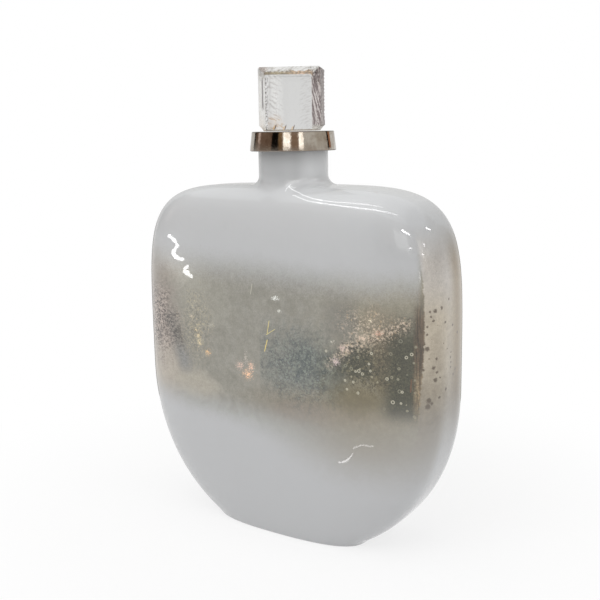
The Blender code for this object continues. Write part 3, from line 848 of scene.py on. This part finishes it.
def painted_flask(sight):
    g = FlaskFinish(sight)
    upper, bare = band_edges(g)
    at = tarnish_and_reflection_masks(g)
    silver = broad_tones(g, at)
    fine_tarnish(g, at, silver)
    single_marks(g, silver)
    g.set("Base Color", g.mix(bare, silver.colour, white_coat(g, upper)))
    g.set("Metallic", g.muladd(bare, -0.4, 0.4))
    g.set("Roughness", g.muladd(bare, 0.2, 0.3))
    g.set("Coat Weight", 1.0)
    g.set("Coat Roughness", 0.03)
    g.set("Coat IOR", 1.5)
    return g.material


def lined_inside():
    g = Finish("white_lining")
    g.set("Base Color", g.mix(g.noise(9, 4, 0.6), (206, 206, 204), (186, 187, 186)))
    g.set("Roughness", 0.4)
    g.set("Coat Weight", 0.6)
    g.set("Normal", g.bump(g.noise(1.2, 3), 0.0001, 0.3))
    return g.material


def glass_flask():
    mesh = flask_mesh()
    sight = Sight(mesh)
    flask = link_object("silvered_flask", mesh, painted_flask(sight))
    mesh.materials.append(lined_inside())
    middle = Vector((0, 0, WIDEST_HEIGHT))
    for polygon in mesh.polygons:
        if polygon.normal.dot(polygon.center - middle) < 0:
            polygon.material_index = 1
    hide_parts("glass_bottle")
    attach(flask, "bottle")
    return sight


# Collar

CAP_TOP_RADIUS = 0.0261
CAP_PLATE = 0.0024
CAP_EDGE = 0.0006
COLLAR_SIDES = 192
SKIRT_RADIUS = NECK_RADIUS + 0.0007
BOSS_RADIUS = 0.006
BOSS_HEIGHT = 0.007
THREAD_RADIUS = 0.0028
THREAD_TOP = 0.0012


def nickel():
    g = Finish("polished_nickel")
    around = g.combine(g.mul(g.math("ARCTAN2", g.y, g.x), 26), 0, g.mul(g.z, 0.12))
    brushed = g.noise(1.4, 4, 0.6, at=around)
    smear = g.noise(7, 3, 0.6, warp=0.5)
    tone = Layers(g, g.step(smear, 0.35, 0.7), (214, 208, 199), (186, 174, 162))
    tone.brighten(g.muladd(brushed, 0.2, 0.9))
    # Painted dark reflection along the top and bottom edges
    to_edge = g.math("MINIMUM", g.sub(COLLAR_HIGH.z / MM, g.z), g.sub(g.z, COLLAR_LOW.z / MM))
    tone.lay((96, 82, 70), 0.7, g.fall(g.muladd(smear, 0.5, to_edge), 0.55, 1.0))
    g.set("Base Color", tone.colour)
    g.set("Metallic", 1.0)
    g.set("Roughness", g.muladd(smear, 0.1, 0.04))
    fine = g.bump(brushed, 0.00005, 0.4)
    hammered = g.bump(g.noise(1.5, 3, 0.6), 0.00005, 0.6, fine)
    g.set("Normal", g.bump(g.noise(5, 3), 0.00012, 0.5, hammered))
    return g.material


def collar_shell():
    top, bottom = COLLAR_HIGH.z, COLLAR_LOW.z
    plate = top - CAP_PLATE
    corners = [
        (0, top),
        (CAP_TOP_RADIUS, top),
        (COLLAR_HIGH.x, bottom),
        (SKIRT_RADIUS, bottom),
        (SKIRT_RADIUS, plate),
        (BOSS_RADIUS, plate),
        (BOSS_RADIUS, plate - BOSS_HEIGHT),
        (THREAD_RADIUS, plate - BOSS_HEIGHT),
        (THREAD_RADIUS, plate - THREAD_TOP),
        (0, plate - THREAD_TOP),
    ]
    mesh = turned_mesh("collar", rounded(corners, CAP_EDGE), COLLAR_SIDES)
    collar = link_object("nickel_collar", mesh, nickel())
    mesh.set_sharp_from_angle(angle=radians(50))
    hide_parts("collar_cap")
    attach(collar, "stopper")


# Crystal, in millimetres of its own frame: its front faces -Y

CUBE_HALF = CUBE_SIDE / 2 / MM
FRAME_WIDTH = 5
WINDOW_HALF = CUBE_HALF - FRAME_WIDTH
FOOT_CHAMFER = 3.5
FRONT_FOOT_CHAMFER = 0.9
TOP_EDGE = 1
CHIP_LENGTH = 2.5
CHIP_DEPTH = 0.34
CHIP_SLANT = 0.16
CHIP_GRAIN = 0.16
CHIPS_ON_RIGHT = 1.25
CHIPS_ON_LEFT = 0.45
BITE_LENGTH = 2.2
BITE_DEPTH = 0.9
GROOVE_WIDTH = 1.9
GROOVE_DEPTH = 0.2
FRAME_CELLS = 10
WINDOW_CELLS = 58
WELD = 0.02


def crystal_planes():
    """The cutting planes as a normal and its distance, each with the direction along its edge."""
    planes = []
    for side in (-1, 1):
        for across in (-1, 1):
            planes.append(((across, side, 0), FRAME_WIDTH, (0, 0, 1)))
        planes.append(((0, side, 1), FRAME_WIDTH, (1, 0, 0)))
        planes.append(((0, side, -1), FRONT_FOOT_CHAMFER, (1, 0, 0)))
        planes.append(((side, 0, -1), FOOT_CHAMFER, (0, 1, 0)))
        planes.append(((side, 0, 1), TOP_EDGE, (0, 1, 0)))
    cut = []
    for normal, leg, along in planes:
        distance = (2 * CUBE_HALF - leg) / sqrt(2)
        cut.append((Vector(normal).normalized(), distance, leg, Vector(along)))
    return cut


def chipped(point, planes):
    """A point of the plain cube, brought back to the chamfers and then into their chips."""
    share, nearest = 1, None
    for plane in planes:
        reach = plane[0].dot(point)
        if reach > 0 and plane[1] / reach < share:
            share, nearest = plane[1] / reach, plane
    point = point * share
    wander = noise.noise(point * 0.23) * 1.6
    if nearest is None:
        return bitten(struck_side(point, wander))
    normal, _, leg, along = nearest
    across = along.cross(normal)
    s, t = point.dot(along), point.dot(across)
    ridge = zigzag(s / CHIP_LENGTH + t * CHIP_SLANT + wander)
    fine = noise.noise(Vector((s * 1.1 + t * 0.7, t * 0.35, wander * 3)))
    middle = 1 - min(abs(t) / min(leg * 0.707, 3), 1) ** 4
    depth = CHIP_DEPTH * (0.4 + 0.6 * middle) * (1 - ridge**0.8) + CHIP_GRAIN * fine * middle
    strength = min(leg / FRAME_WIDTH + 0.2, 1) * (CHIPS_ON_RIGHT if point.x > 0 else CHIPS_ON_LEFT)
    return bitten(point - normal * max(depth, 0) * strength)


def struck_side(point, wander):
    """The two side faces are struck in upright grooves."""
    if abs(point.x) < CUBE_HALF - 0.01:
        return point
    inset = GROOVE_DEPTH * (1 - zigzag(point.y / GROOVE_WIDTH + wander * 1.3))
    return point - Vector((inset if point.x > 0 else -inset, 0, 0))


def bitten(point):
    """Small bites out of the upright edges on the right, deeper on some than on others."""
    bite = zigzag(point.z / BITE_LENGTH + 0.3 * noise.noise(Vector((0, 0, point.z * 0.4))))
    depth = BITE_DEPTH * (0.7 + 0.6 * noise.noise(Vector((3, 0, point.z * 0.3))))
    in_height = clamped((point.z + 14) / 3) * clamped((CUBE_HALF - 2 - point.z) / 3)
    near = clamped((abs(point.y) - 9) / 5) * clamped((point.x - WINDOW_HALF) / FRAME_WIDTH)
    return point - Vector((depth * near * in_height * (1 - bite) ** 1.5, 0, 0))


def crystal_mesh():
    frame_steps = [WINDOW_HALF + FRAME_WIDTH * i / FRAME_CELLS for i in range(1, FRAME_CELLS + 1)]
    middle = [WINDOW_HALF * (2 * i / WINDOW_CELLS - 1) for i in range(WINDOW_CELLS + 1)]
    steps = [-s for s in frame_steps[::-1]] + middle + frame_steps
    planes = crystal_planes()
    bm = bmesh.new()
    for axis in range(3):
        for side in (-1, 1):
            rows = []
            for u in steps:
                row = []
                for v in steps:
                    point = [u, v]
                    point.insert(axis, side * CUBE_HALF)
                    row.append(bm.verts.new(chipped(Vector(point), planes) * MM))
                rows.append(row)
            for i in range(len(steps) - 1):
                for j in range(len(steps) - 1):
                    bm.faces.new((rows[i][j], rows[i + 1][j], rows[i + 1][j + 1], rows[i][j + 1]))
    bmesh.ops.remove_doubles(bm, verts=bm.verts, dist=WELD * MM)
    bmesh.ops.recalc_face_normals(bm, faces=bm.faces)
    return mesh_from(bm, "crystal")


# Marks chipped into the lower front edge, dark with a painted gold reflection beside: place along the edge
# and height of the middle, and their lean
CHIPS_WITH_GOLD_REFLECTION = ((-8.4, -16.9), (-2.2, -17.2), (2.9, -17.4))
GOLD_LEAN = 0.32


def slanted(g, slope, length, width):
    """Noise drawn out along a slope, in degrees, in the front plane."""
    rise, run = sin(radians(slope)), cos(radians(slope))
    along = g.add(g.mul(g.x, run), g.mul(g.z, rise))
    across = g.sub(g.mul(g.z, run), g.mul(g.x, rise))
    return g.streaks((1 / length, 0.3, 1 / width), at=g.combine(along, g.y, across))


def struck_frame(g, upright, strokes, wave, wobble, chamfer):
    """The chipped frame's tone: strokes that slant along the top and run upright at the sides."""
    top = Layers(g, g.step(strokes, 0.44, 0.66), (232, 231, 228), (178, 174, 166))
    top.lay((190, 178, 170), 1, g.step(g.x, -11, -16))
    light_streak = g.mix(chamfer, (198, 186, 182), (206, 195, 191))
    dark_streak = g.mix(chamfer, (100, 85, 84), (92, 77, 77))
    struck = g.mix(g.step(upright, 0.43, 0.54), light_streak, dark_streak)
    feathered = g.mix(g.step(slanted(g, -36, 3.6, 0.8), 0.5, 0.66), (250, 250, 249), (206, 204, 200))
    off_line = g.size(g.sub(g.muladd(wave, 0.35, g.x), -16.2))
    line_height = g.mul(g.step(g.z, -8, -4), g.step(g.z, 13, 11))
    tone = Layers(g, g.step(upright, 0.5, 0.72), (232, 231, 228), (198, 194, 188))
    tone.lay(feathered, 1, g.step(g.y, -1, 1))
    tone.lay((96, 90, 92), 0.9, g.fall(off_line, 0.3, 0.75), line_height, g.step(g.y, 0, -1))
    tone.lay(struck, 1, g.step(g.x, -8, -4))
    tone.lay(top.colour, 1, g.fall(g.sub(g.size(g.x), g.z), -0.4, 0.4))
    tone.lay((206, 200, 190), 1, g.step(g.z, -15, -18))
    tone.lay((150, 132, 108), 1, g.step(g.z, -18.6, -19))

    # Warm fringe under the top chamfer
    crumb = g.noise(1.1, 3, 0.8)
    gilt = g.mix(g.step(g.x, -6, 8), (150, 134, 92), (206, 160, 116))
    fringe = Layers(g, g.step(crumb, 0.45, 0.54), (88, 70, 44), gilt)
    fringe.lay((240, 234, 222), 1, g.step(crumb, 0.6, 0.68))
    off_fringe = g.size(g.sub(g.muladd(wobble, 1.2, g.z), 15.2))
    tone.lay(fringe.colour, 0.95, g.fall(off_fringe, 0.9, 1.9), g.fall(g.size(g.x), 14.4, 15.8))
    return tone.colour


def clean_window(g, wobble, near_left):
    """Clean glass, with feathers reaching in from its sides."""
    feather = g.step(slanted(g, -32, 4.2, 1.2), 0.5, 0.64)
    feather_right = g.step(slanted(g, 24, 3.6, 0.9), 0.48, 0.62)
    near_right = g.mul(g.step(g.add(g.x, wobble), 6, 8.5), g.fall(g.x, 12.4, 13.6))
    feathers = g.largest(g.mul(feather, near_left), g.mul(feather_right, near_right, 0.7))
    low_gold = g.mul(near_left, g.fall(g.z, -14, -8))
    tone = Layers(g, g.mul(near_left, 0.7), (213, 213, 212), (236, 236, 234))
    tone.lay((160, 153, 150), 0.5, feathers)
    tone.lay((216, 192, 172), 0.3, low_gold)
    tone.lay((196, 158, 112), 0.8, low_gold, feather)
    return tone.colour


def crystal_glass(frosted=False):
    g = Finish("struck_crystal" if frosted else "clear_crystal")
    beside, above = g.sub(g.size(g.x), WINDOW_HALF), g.sub(g.z, WINDOW_HALF)
    below = g.sub(FRONT_FOOT_CHAMFER - CUBE_HALF, g.z)
    on_frame = g.step(g.largest(beside, above, below), -0.1, 0.15)
    window = g.mul(g.sub(1, on_frame), g.step(g.size(g.y), CUBE_HALF - 0.15, CUBE_HALF - 0.05))
    in_front = g.step(g.y, 0, -1)
    chamfer = g.mul(g.step(g.size(g.y), WINDOW_HALF - 0.2, WINDOW_HALF + 0.2), in_front)
    wobble = g.muladd(g.noise(2.2, 3, 0.6), 3.4, -1.7)
    wave = g.muladd(g.noise(6, 2), 3, -1.5)
    bend = g.muladd(g.mul(g.z, g.step(g.x, 0, 4)), 0.2, g.mul(wave, 0.4))
    upright = g.streaks((1.5, 0.5, 0.1), at=g.combine(g.add(g.x, bend), g.add(g.y, bend), g.z))
    strokes = slanted(g, 28, 5, 0.8)
    near_left = g.mul(g.step(g.x, -13.6, -12.2), g.fall(g.add(g.x, wobble), -8.5, -5.5))
    frame_tone = struck_frame(g, upright, strokes, wave, wobble, chamfer)
    tone = Layers(g, window, frame_tone, clean_window(g, wobble, near_left))
    # Each chip: a dark stroke with a painted gold reflection beside it
    for across, height in CHIPS_WITH_GOLD_REFLECTION:
        upended = g.combine(g.muladd(g.z, -GOLD_LEAN, g.x), 0, g.z)
        away = g.vector("SUBTRACT", upended, (across - height * GOLD_LEAN, 0, height))
        gold = g.length(g.vector("DIVIDE", g.vector("ADD", away, (0.8, 0, 0.5)), (0.65, 1, 1.6)))
        dark = g.length(g.vector("DIVIDE", away, (0.42, 1, 1.9)))
        tone.lay((222, 172, 96), 0.7, g.fall(gold, 0.6, 1.1), in_front)
        tone.lay((62, 36, 22), 0.95, g.fall(dark, 0.6, 1.1), in_front)
    g.set("Base Color", tone.colour)
    g.set("Roughness", g.muladd(on_frame, 0.1, 0.22 if frosted else 0.01))
    g.set("IOR", 1.5)
    g.set("Specular IOR Level", 0.25 if frosted else 0.5)
    under_fringe = g.step(g.z, WINDOW_HALF - 1.9, WINDOW_HALF - 1.2)
    milky = g.mul(g.largest(g.mul(near_left, 0.6), g.mul(under_fringe, 0.85)), in_front, window)
    milky = g.largest(milky, g.mul(chamfer, g.sub(1, window), 0.35))
    g.set("Transmission Weight", 0.4 if frosted else g.sub(1, milky))
    g.set("Normal", g.bump(g.mul(g.sub(1, window), g.add(upright, strokes)), 0.0003, 0.5))
    return g.material


def crystal():
    cube = link_object("chipped_crystal", crystal_mesh(), crystal_glass())
    cube.data.set_sharp_from_angle(angle=radians(24))
    cube.data.materials.append(crystal_glass(frosted=True))
    for polygon in cube.data.polygons:
        if abs(polygon.center.x) > (CUBE_HALF - 1) * MM:
            polygon.material_index = 1
    cube.location = (0, 0, (CUBE_LOW.z + CUBE_HIGH.z) / 2)
    cube.rotation_euler = (0, 0, CUBE_TURN)
    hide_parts("crystal_cube")
    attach(cube, "stopper")


# Hidden pieces of the stopper, which the lifted stopper shows


def dressed(nodes, g, tone, roughness, relief, depth):
    g.set("Base Color", tone)
    g.set("Roughness", roughness)
    g.set("Normal", g.bump(relief, depth, 0.6))
    for name in nodes:
        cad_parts[name].data.materials.clear()
        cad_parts[name].data.materials.append(g.material)


def hidden_pieces():
    g = Finish("plug_moulding")
    skin = g.noise(0.5, 3)
    tone = g.mix(g.step(g.noise(6, 3), 0.35, 0.7), (222, 221, 216), (204, 202, 196))
    dressed(["plug_core"], g, tone, g.muladd(skin, 0.2, 0.4), skin, 0.0001)
    g = Finish("silicone")
    dust = g.noise(0.8, 4, 0.7)
    tone = g.mix(g.step(dust, 0.4, 0.7), (196, 199, 201), (170, 174, 177))
    g.set("Subsurface Weight", 0.1)
    g.set("Subsurface Scale", 0.002)
    seals = ["lip_gasket", "seal_ring_upper", "seal_ring_lower"]
    dressed(seals, g, tone, g.muladd(dust, 0.25, 0.45), dust, 0.00005)
    g = Finish("turned_steel")
    radius = g.length(g.combine(g.x, g.y, 0))
    turning = g.noise(1, 3, 0.6, at=g.combine(radius, 0, g.mul(g.z, 4)))
    tone = g.mix(g.step(turning, 0.35, 0.65), (196, 194, 190), (152, 150, 146))
    g.set("Metallic", 1.0)
    dressed(["plug_screw", "screw_washer"], g, tone, g.muladd(turning, 0.2, 0.22), turning, 0.00005)


# Stage

# Lamps: azimuth from the front towards +X, elevation, distance, side and power
LAMPS = {
    "overhead": (0, 75, 1.6, 1.4, 9),
    "key": (-15, 38, 1.8, 0.9, 5.6),
    "side": (95, 30, 1.8, 0.9, 2.6),
}
LAMP_AIM = 0.12
FILL_LIGHT = 0.62
FLOOR_RADIUS = 30
FLOOR_FADE = (120, 340)
FLOOR_NEAR_GLOW = 0.76


def add_camera():
    data = bpy.data.cameras.new("camera")
    data.sensor_width = SENSOR
    data.lens = SENSOR * FOCAL_PIXELS / PHOTO_SIZE
    data.clip_start = 0.02
    camera = bpy.data.objects.new("camera", data)
    camera.matrix_world = camera_matrix()
    bpy.context.scene.collection.objects.link(camera)
    bpy.context.scene.camera = camera


def add_lamp(name, azimuth, elevation, distance, side, power):
    """A square lamp that shines on the flask, and that no mirror or glass shows."""
    data = bpy.data.lights.new(name, "AREA")
    data.size = side
    data.energy = power
    light = bpy.data.objects.new(name, data)
    light.visible_glossy = False
    light.visible_transmission = False
    bpy.context.scene.collection.objects.link(light)
    azimuth, elevation = radians(azimuth), radians(elevation)
    flat = distance * cos(elevation)
    light.location = (flat * sin(azimuth), -flat * cos(azimuth), LAMP_AIM + distance * sin(elevation))
    toward = Vector((0, 0, LAMP_AIM)) - light.location
    light.rotation_euler = toward.to_track_quat("-Z", "Y").to_euler()


# The dim room that metal and glass mirror, by azimuth from the front towards +X: where each
# upright stretch ends, its tone at the height that the collar mirrors, and its tone above and below.
ROOM_START = -146
WHITE_LIGHT = (330, 328, 322)
WALL = (182, 178, 172)
ROOM = (
    (-96, (206, 206, 204), (206, 206, 204)),
    (-88, (30, 26, 24), (60, 56, 52)),
    (-76, (108, 92, 80), (118, 106, 96)),
    (-66, (206, 188, 180), (140, 126, 118)),
    (-46, (124, 104, 90), (130, 118, 108)),
    (-26, (112, 92, 78), (130, 118, 108)),
    (-6, (12, 10, 8), (96, 90, 84)),
    (7, (128, 104, 76), (120, 110, 100)),
    (27, WHITE_LIGHT, (150, 144, 136)),
    (49, (142, 120, 102), (156, 148, 140)),
    (62, WHITE_LIGHT, WALL),
    (100, (196, 193, 187), WALL),
    (157, (180, 174, 165), WALL),
    (214, (214, 214, 212), (214, 214, 212)),
)
ROOM_RADIUS = 1.3
ROOM_TOP = 1.2
ROOM_FOOT, ROOM_CLEAR = 40, 400
MIRROR_BOTTOM, MIRROR_TOP, MIRROR_FADE = 400, 740, 40

# Cards near the object that only mirrors show: azimuths of their ends and tone, and their radius,
# bottom and top. Those by the collar are sharp, and those round the flask fade at their ends.
COLLAR_CARD_PLACE = (0.055, 0.254, 0.276)
COLLAR_CARDS = ((116.9, 122.8, (16, 12, 10)), (122.8, 130.4, (158, 114, 86)))
FLASK_CARD_PLACE = (0.32, 0.002, 0.2)
FLASK_CARDS = ((158, 209, (100, 92, 78)), (210, 262, (100, 94, 84)))
CARD_FADE = 12
STRIP_STEPS = 4


def mirrored_band(name, pairs, material):
    """A band through pairs of places, which only mirrors show."""
    bm = bmesh.new()
    pairs = [[bm.verts.new(place) for place in pair] for pair in pairs]
    for (a, b), (c, d) in zip(pairs, pairs[1:]):
        bm.faces.new((a, b, d, c))
    band = link_object(name, mesh_from(bm, name), material, smooth=False)
    band.visible_camera = False
    band.visible_diffuse = False
    band.visible_shadow = False
    band.visible_transmission = False
    return band


def upright_strip(name, start, end, place, material):
    radius, bottom, top = place
    pairs = []
    for i in range(STRIP_STEPS + 1):
        angle = radians(start + (end - start) * i / STRIP_STEPS)
        x, y = radius * sin(angle), -radius * cos(angle)
        pairs.append(((x, y, bottom), (x, y, top)))
    mirrored_band(name, pairs, material)


def sharp_card(name, tone):
    g = Finish(name)
    return g.output(g.glow(linear(*tone)))


def soft_card(name, start, end, tone):
    """A tone that fades out towards both ends of an upright strip."""
    g = Finish(name)
    azimuth = g.math("ARCTAN2", g.mul(g.x, -1), g.y)
    turned = g.sub(g.mul(azimuth, 180 / pi), (start + end) / 2 - 180)
    shown = g.fall(g.size(turned), (end - start) / 2 - CARD_FADE, (end - start) / 2)
    return g.output(g.node("MixShader", shown, g.clear(), g.glow(linear(*tone))).outputs[0])


def room_wall(name, near, far):
    """A wall that glows in one tone at the mirrored height and in another round it, and fades at its foot."""
    g = Finish(name)
    above_bottom = g.step(g.z, MIRROR_BOTTOM - MIRROR_FADE, MIRROR_BOTTOM + MIRROR_FADE)
    below_top = g.step(g.z, MIRROR_TOP + MIRROR_FADE, MIRROR_TOP - MIRROR_FADE)
    tone = g.mix(g.mul(above_bottom, below_top), far, near)
    return g.output(g.glow(g.mix(g.step(g.z, ROOM_FOOT, ROOM_CLEAR), (250, 250, 250), tone)))


def mirrored_room():
    start = ROOM_START
    room_place = (ROOM_RADIUS, ROOM_FOOT * MM, ROOM_TOP)
    for number, (end, near, far) in enumerate(ROOM):
        name = f"room_{number}"
        upright_strip(name, start, end, room_place, room_wall(name, near, far))
        start = end
    for number, (start, end, tone) in enumerate(COLLAR_CARDS):
        name = f"collar_card_{number}"
        upright_strip(name, start, end, COLLAR_CARD_PLACE, sharp_card(name, tone))
    for number, (start, end, tone) in enumerate(FLASK_CARDS):
        name = f"flask_card_{number}"
        upright_strip(name, start, end, FLASK_CARD_PLACE, soft_card(name, start, end, tone))


# Glints: brightness, distance and the path in the photograph's pixels, with half widths
GLINTS = (
    (8, 0.06, (
        (316, 199, 0.2), (319, 199.8, 0.35), (324, 200.6, 0.4), (334, 202, 0.4), (352, 203, 0.4),
        (367.6, 204.8, 0.4), (383.2, 207.4, 0.2),
    )),
    (9, 0.06, (
        (316, 202, 0.2), (319, 202.7, 0.4), (323.2, 203.5, 0.45), (340, 205.8, 0.5), (359.2, 208.2, 0.55),
        (376, 210.2, 0.6), (388, 212.6, 0.5), (394, 214, 0.4), (398.8, 215.6, 0.2),
    )),
    (16, 0.7, ((401.5, 230, 0.9), (404.5, 231.8, 1.1), (407.5, 233.6, 0.8), (410.4, 235.4, 0.4))),
    (14, 0.7, ((425.6, 227.2, 0.4), (428, 228.8, 0.8), (430.8, 230.3, 0.5))),
    (12, 0.7, ((408.9, 248, 0.5), (410.4, 248.3, 0.8), (412, 248.6, 0.4))),
    (10, 0.7, ((423.4, 243, 0.4), (424.2, 245, 0.8), (424.6, 246.6, 0.4))),
    (10, 0.7, ((422.2, 253.2, 0.4), (423, 254.2, 0.7), (423.8, 255, 0.4))),
    (5, 0.7, ((419.6, 272, 0.3), (420, 277, 0.5), (419.8, 283, 0.3))),
    (12, 0.12, (
        (167.8, 235.2, 0.9), (169.6, 236, 2), (171.6, 237.8, 1.3), (173.6, 239.2, 1.9), (176, 243, 1.2),
        (177.6, 245.6, 1.7), (175.4, 248.6, 1.2), (173.2, 252, 2.1), (174.4, 255.6, 2), (176.6, 257.4, 2.3),
        (179.4, 258.6, 1.5), (182, 259.4, 2), (184.6, 259.6, 0.6),
    )),
    (12, 0.12, (
        (188.4, 264.6, 0.7), (187.2, 267, 1.9), (184.6, 268.8, 1.3), (184.4, 271, 2.2), (187, 272.4, 2.8),
        (189, 274.8, 1.6), (191, 276.2, 1.9), (192.6, 277.8, 0.5),
    )),
    (7, 0.08, (
        (337.5, 462, 0.5), (341, 462.4, 0.6), (344.4, 461.6, 1.2), (347.6, 459.8, 1.2), (350.4, 457, 0.6),
        (352.8, 453.4, 0.4),
    )),
    (5, 0.08, (
        (352.8, 448.6, 0.4), (357, 446.8, 0.7), (361.4, 445, 0.7), (366, 445.4, 0.7), (370, 446.6, 0.6),
        (374, 446, 0.4),
    )),
)


def glint_light(name, strength):
    """A glow that hides nothing behind it."""
    g = Finish(name)
    return g.output(g.node("AddShader", g.glow((strength,) * 3), g.clear()).outputs[0])


def glints(sight):
    """Thin lights set where the flask mirrors them to the named pixels. Nothing else is lit by them."""
    lit = bpy.data.collections.new("lit_by_glints")
    lit.objects.link(bpy.data.objects["silvered_flask"])
    for number, (strength, distance, path) in enumerate(GLINTS):
        pairs = []
        for i, (across, down, half_width) in enumerate(path):
            before, after = path[max(i - 1, 0)], path[min(i + 1, len(path) - 1)]
            run = Vector((after[0] - before[0], after[1] - before[1])).normalized()
            side = Vector((-run.y, run.x)) * half_width
            ends = [sight.mirrored((across + side.x * way, down + side.y * way), distance) for way in (-1, 1)]
            if None not in ends:
                pairs.append(ends)
        name = f"glint_{number}"
        band = mirrored_band(name, pairs, glint_light(name, strength))
        band.light_linking.receiver_collection = lit


def set_world():
    world = bpy.data.worlds.new("studio")
    bpy.context.scene.world = world
    g = Graph(world)
    background = g.nodes["Background"].inputs
    g.put(background["Color"], (1, 1, 1))
    g.put(background["Strength"], g.muladd(g.seen(), 1 - FILL_LIGHT, FILL_LIGHT))


def add_floor():
    bm = bmesh.new()
    bmesh.ops.create_circle(bm, cap_ends=True, radius=FLOOR_RADIUS, segments=96)
    g = Finish("pale_floor")
    g.set("Base Color", g.mix(g.noise(40, 2), (247, 247, 247), (244, 244, 244)))
    g.set("Roughness", 0.8)
    away = g.length(g.combine(g.x, g.y, 0))
    share = g.mul(g.seen(), g.step(away, *FLOOR_FADE, FLOOR_NEAR_GLOW, 1))
    g.output(g.node("MixShader", share, g.shader.outputs[0], g.glow((1, 1, 1))).outputs[0])
    floor = link_object("floor", mesh_from(bm, "floor"), g.material, smooth=False)


def light_studio(sight):
    set_world()
    for name, numbers in LAMPS.items():
        add_lamp(name, *numbers)
    mirrored_room()
    glints(sight)


add_camera()
sight = glass_flask()
collar_shell()
crystal()
hidden_pieces()
add_floor()
light_studio(sight)
bpy.context.scene.view_settings.view_transform = "Standard"
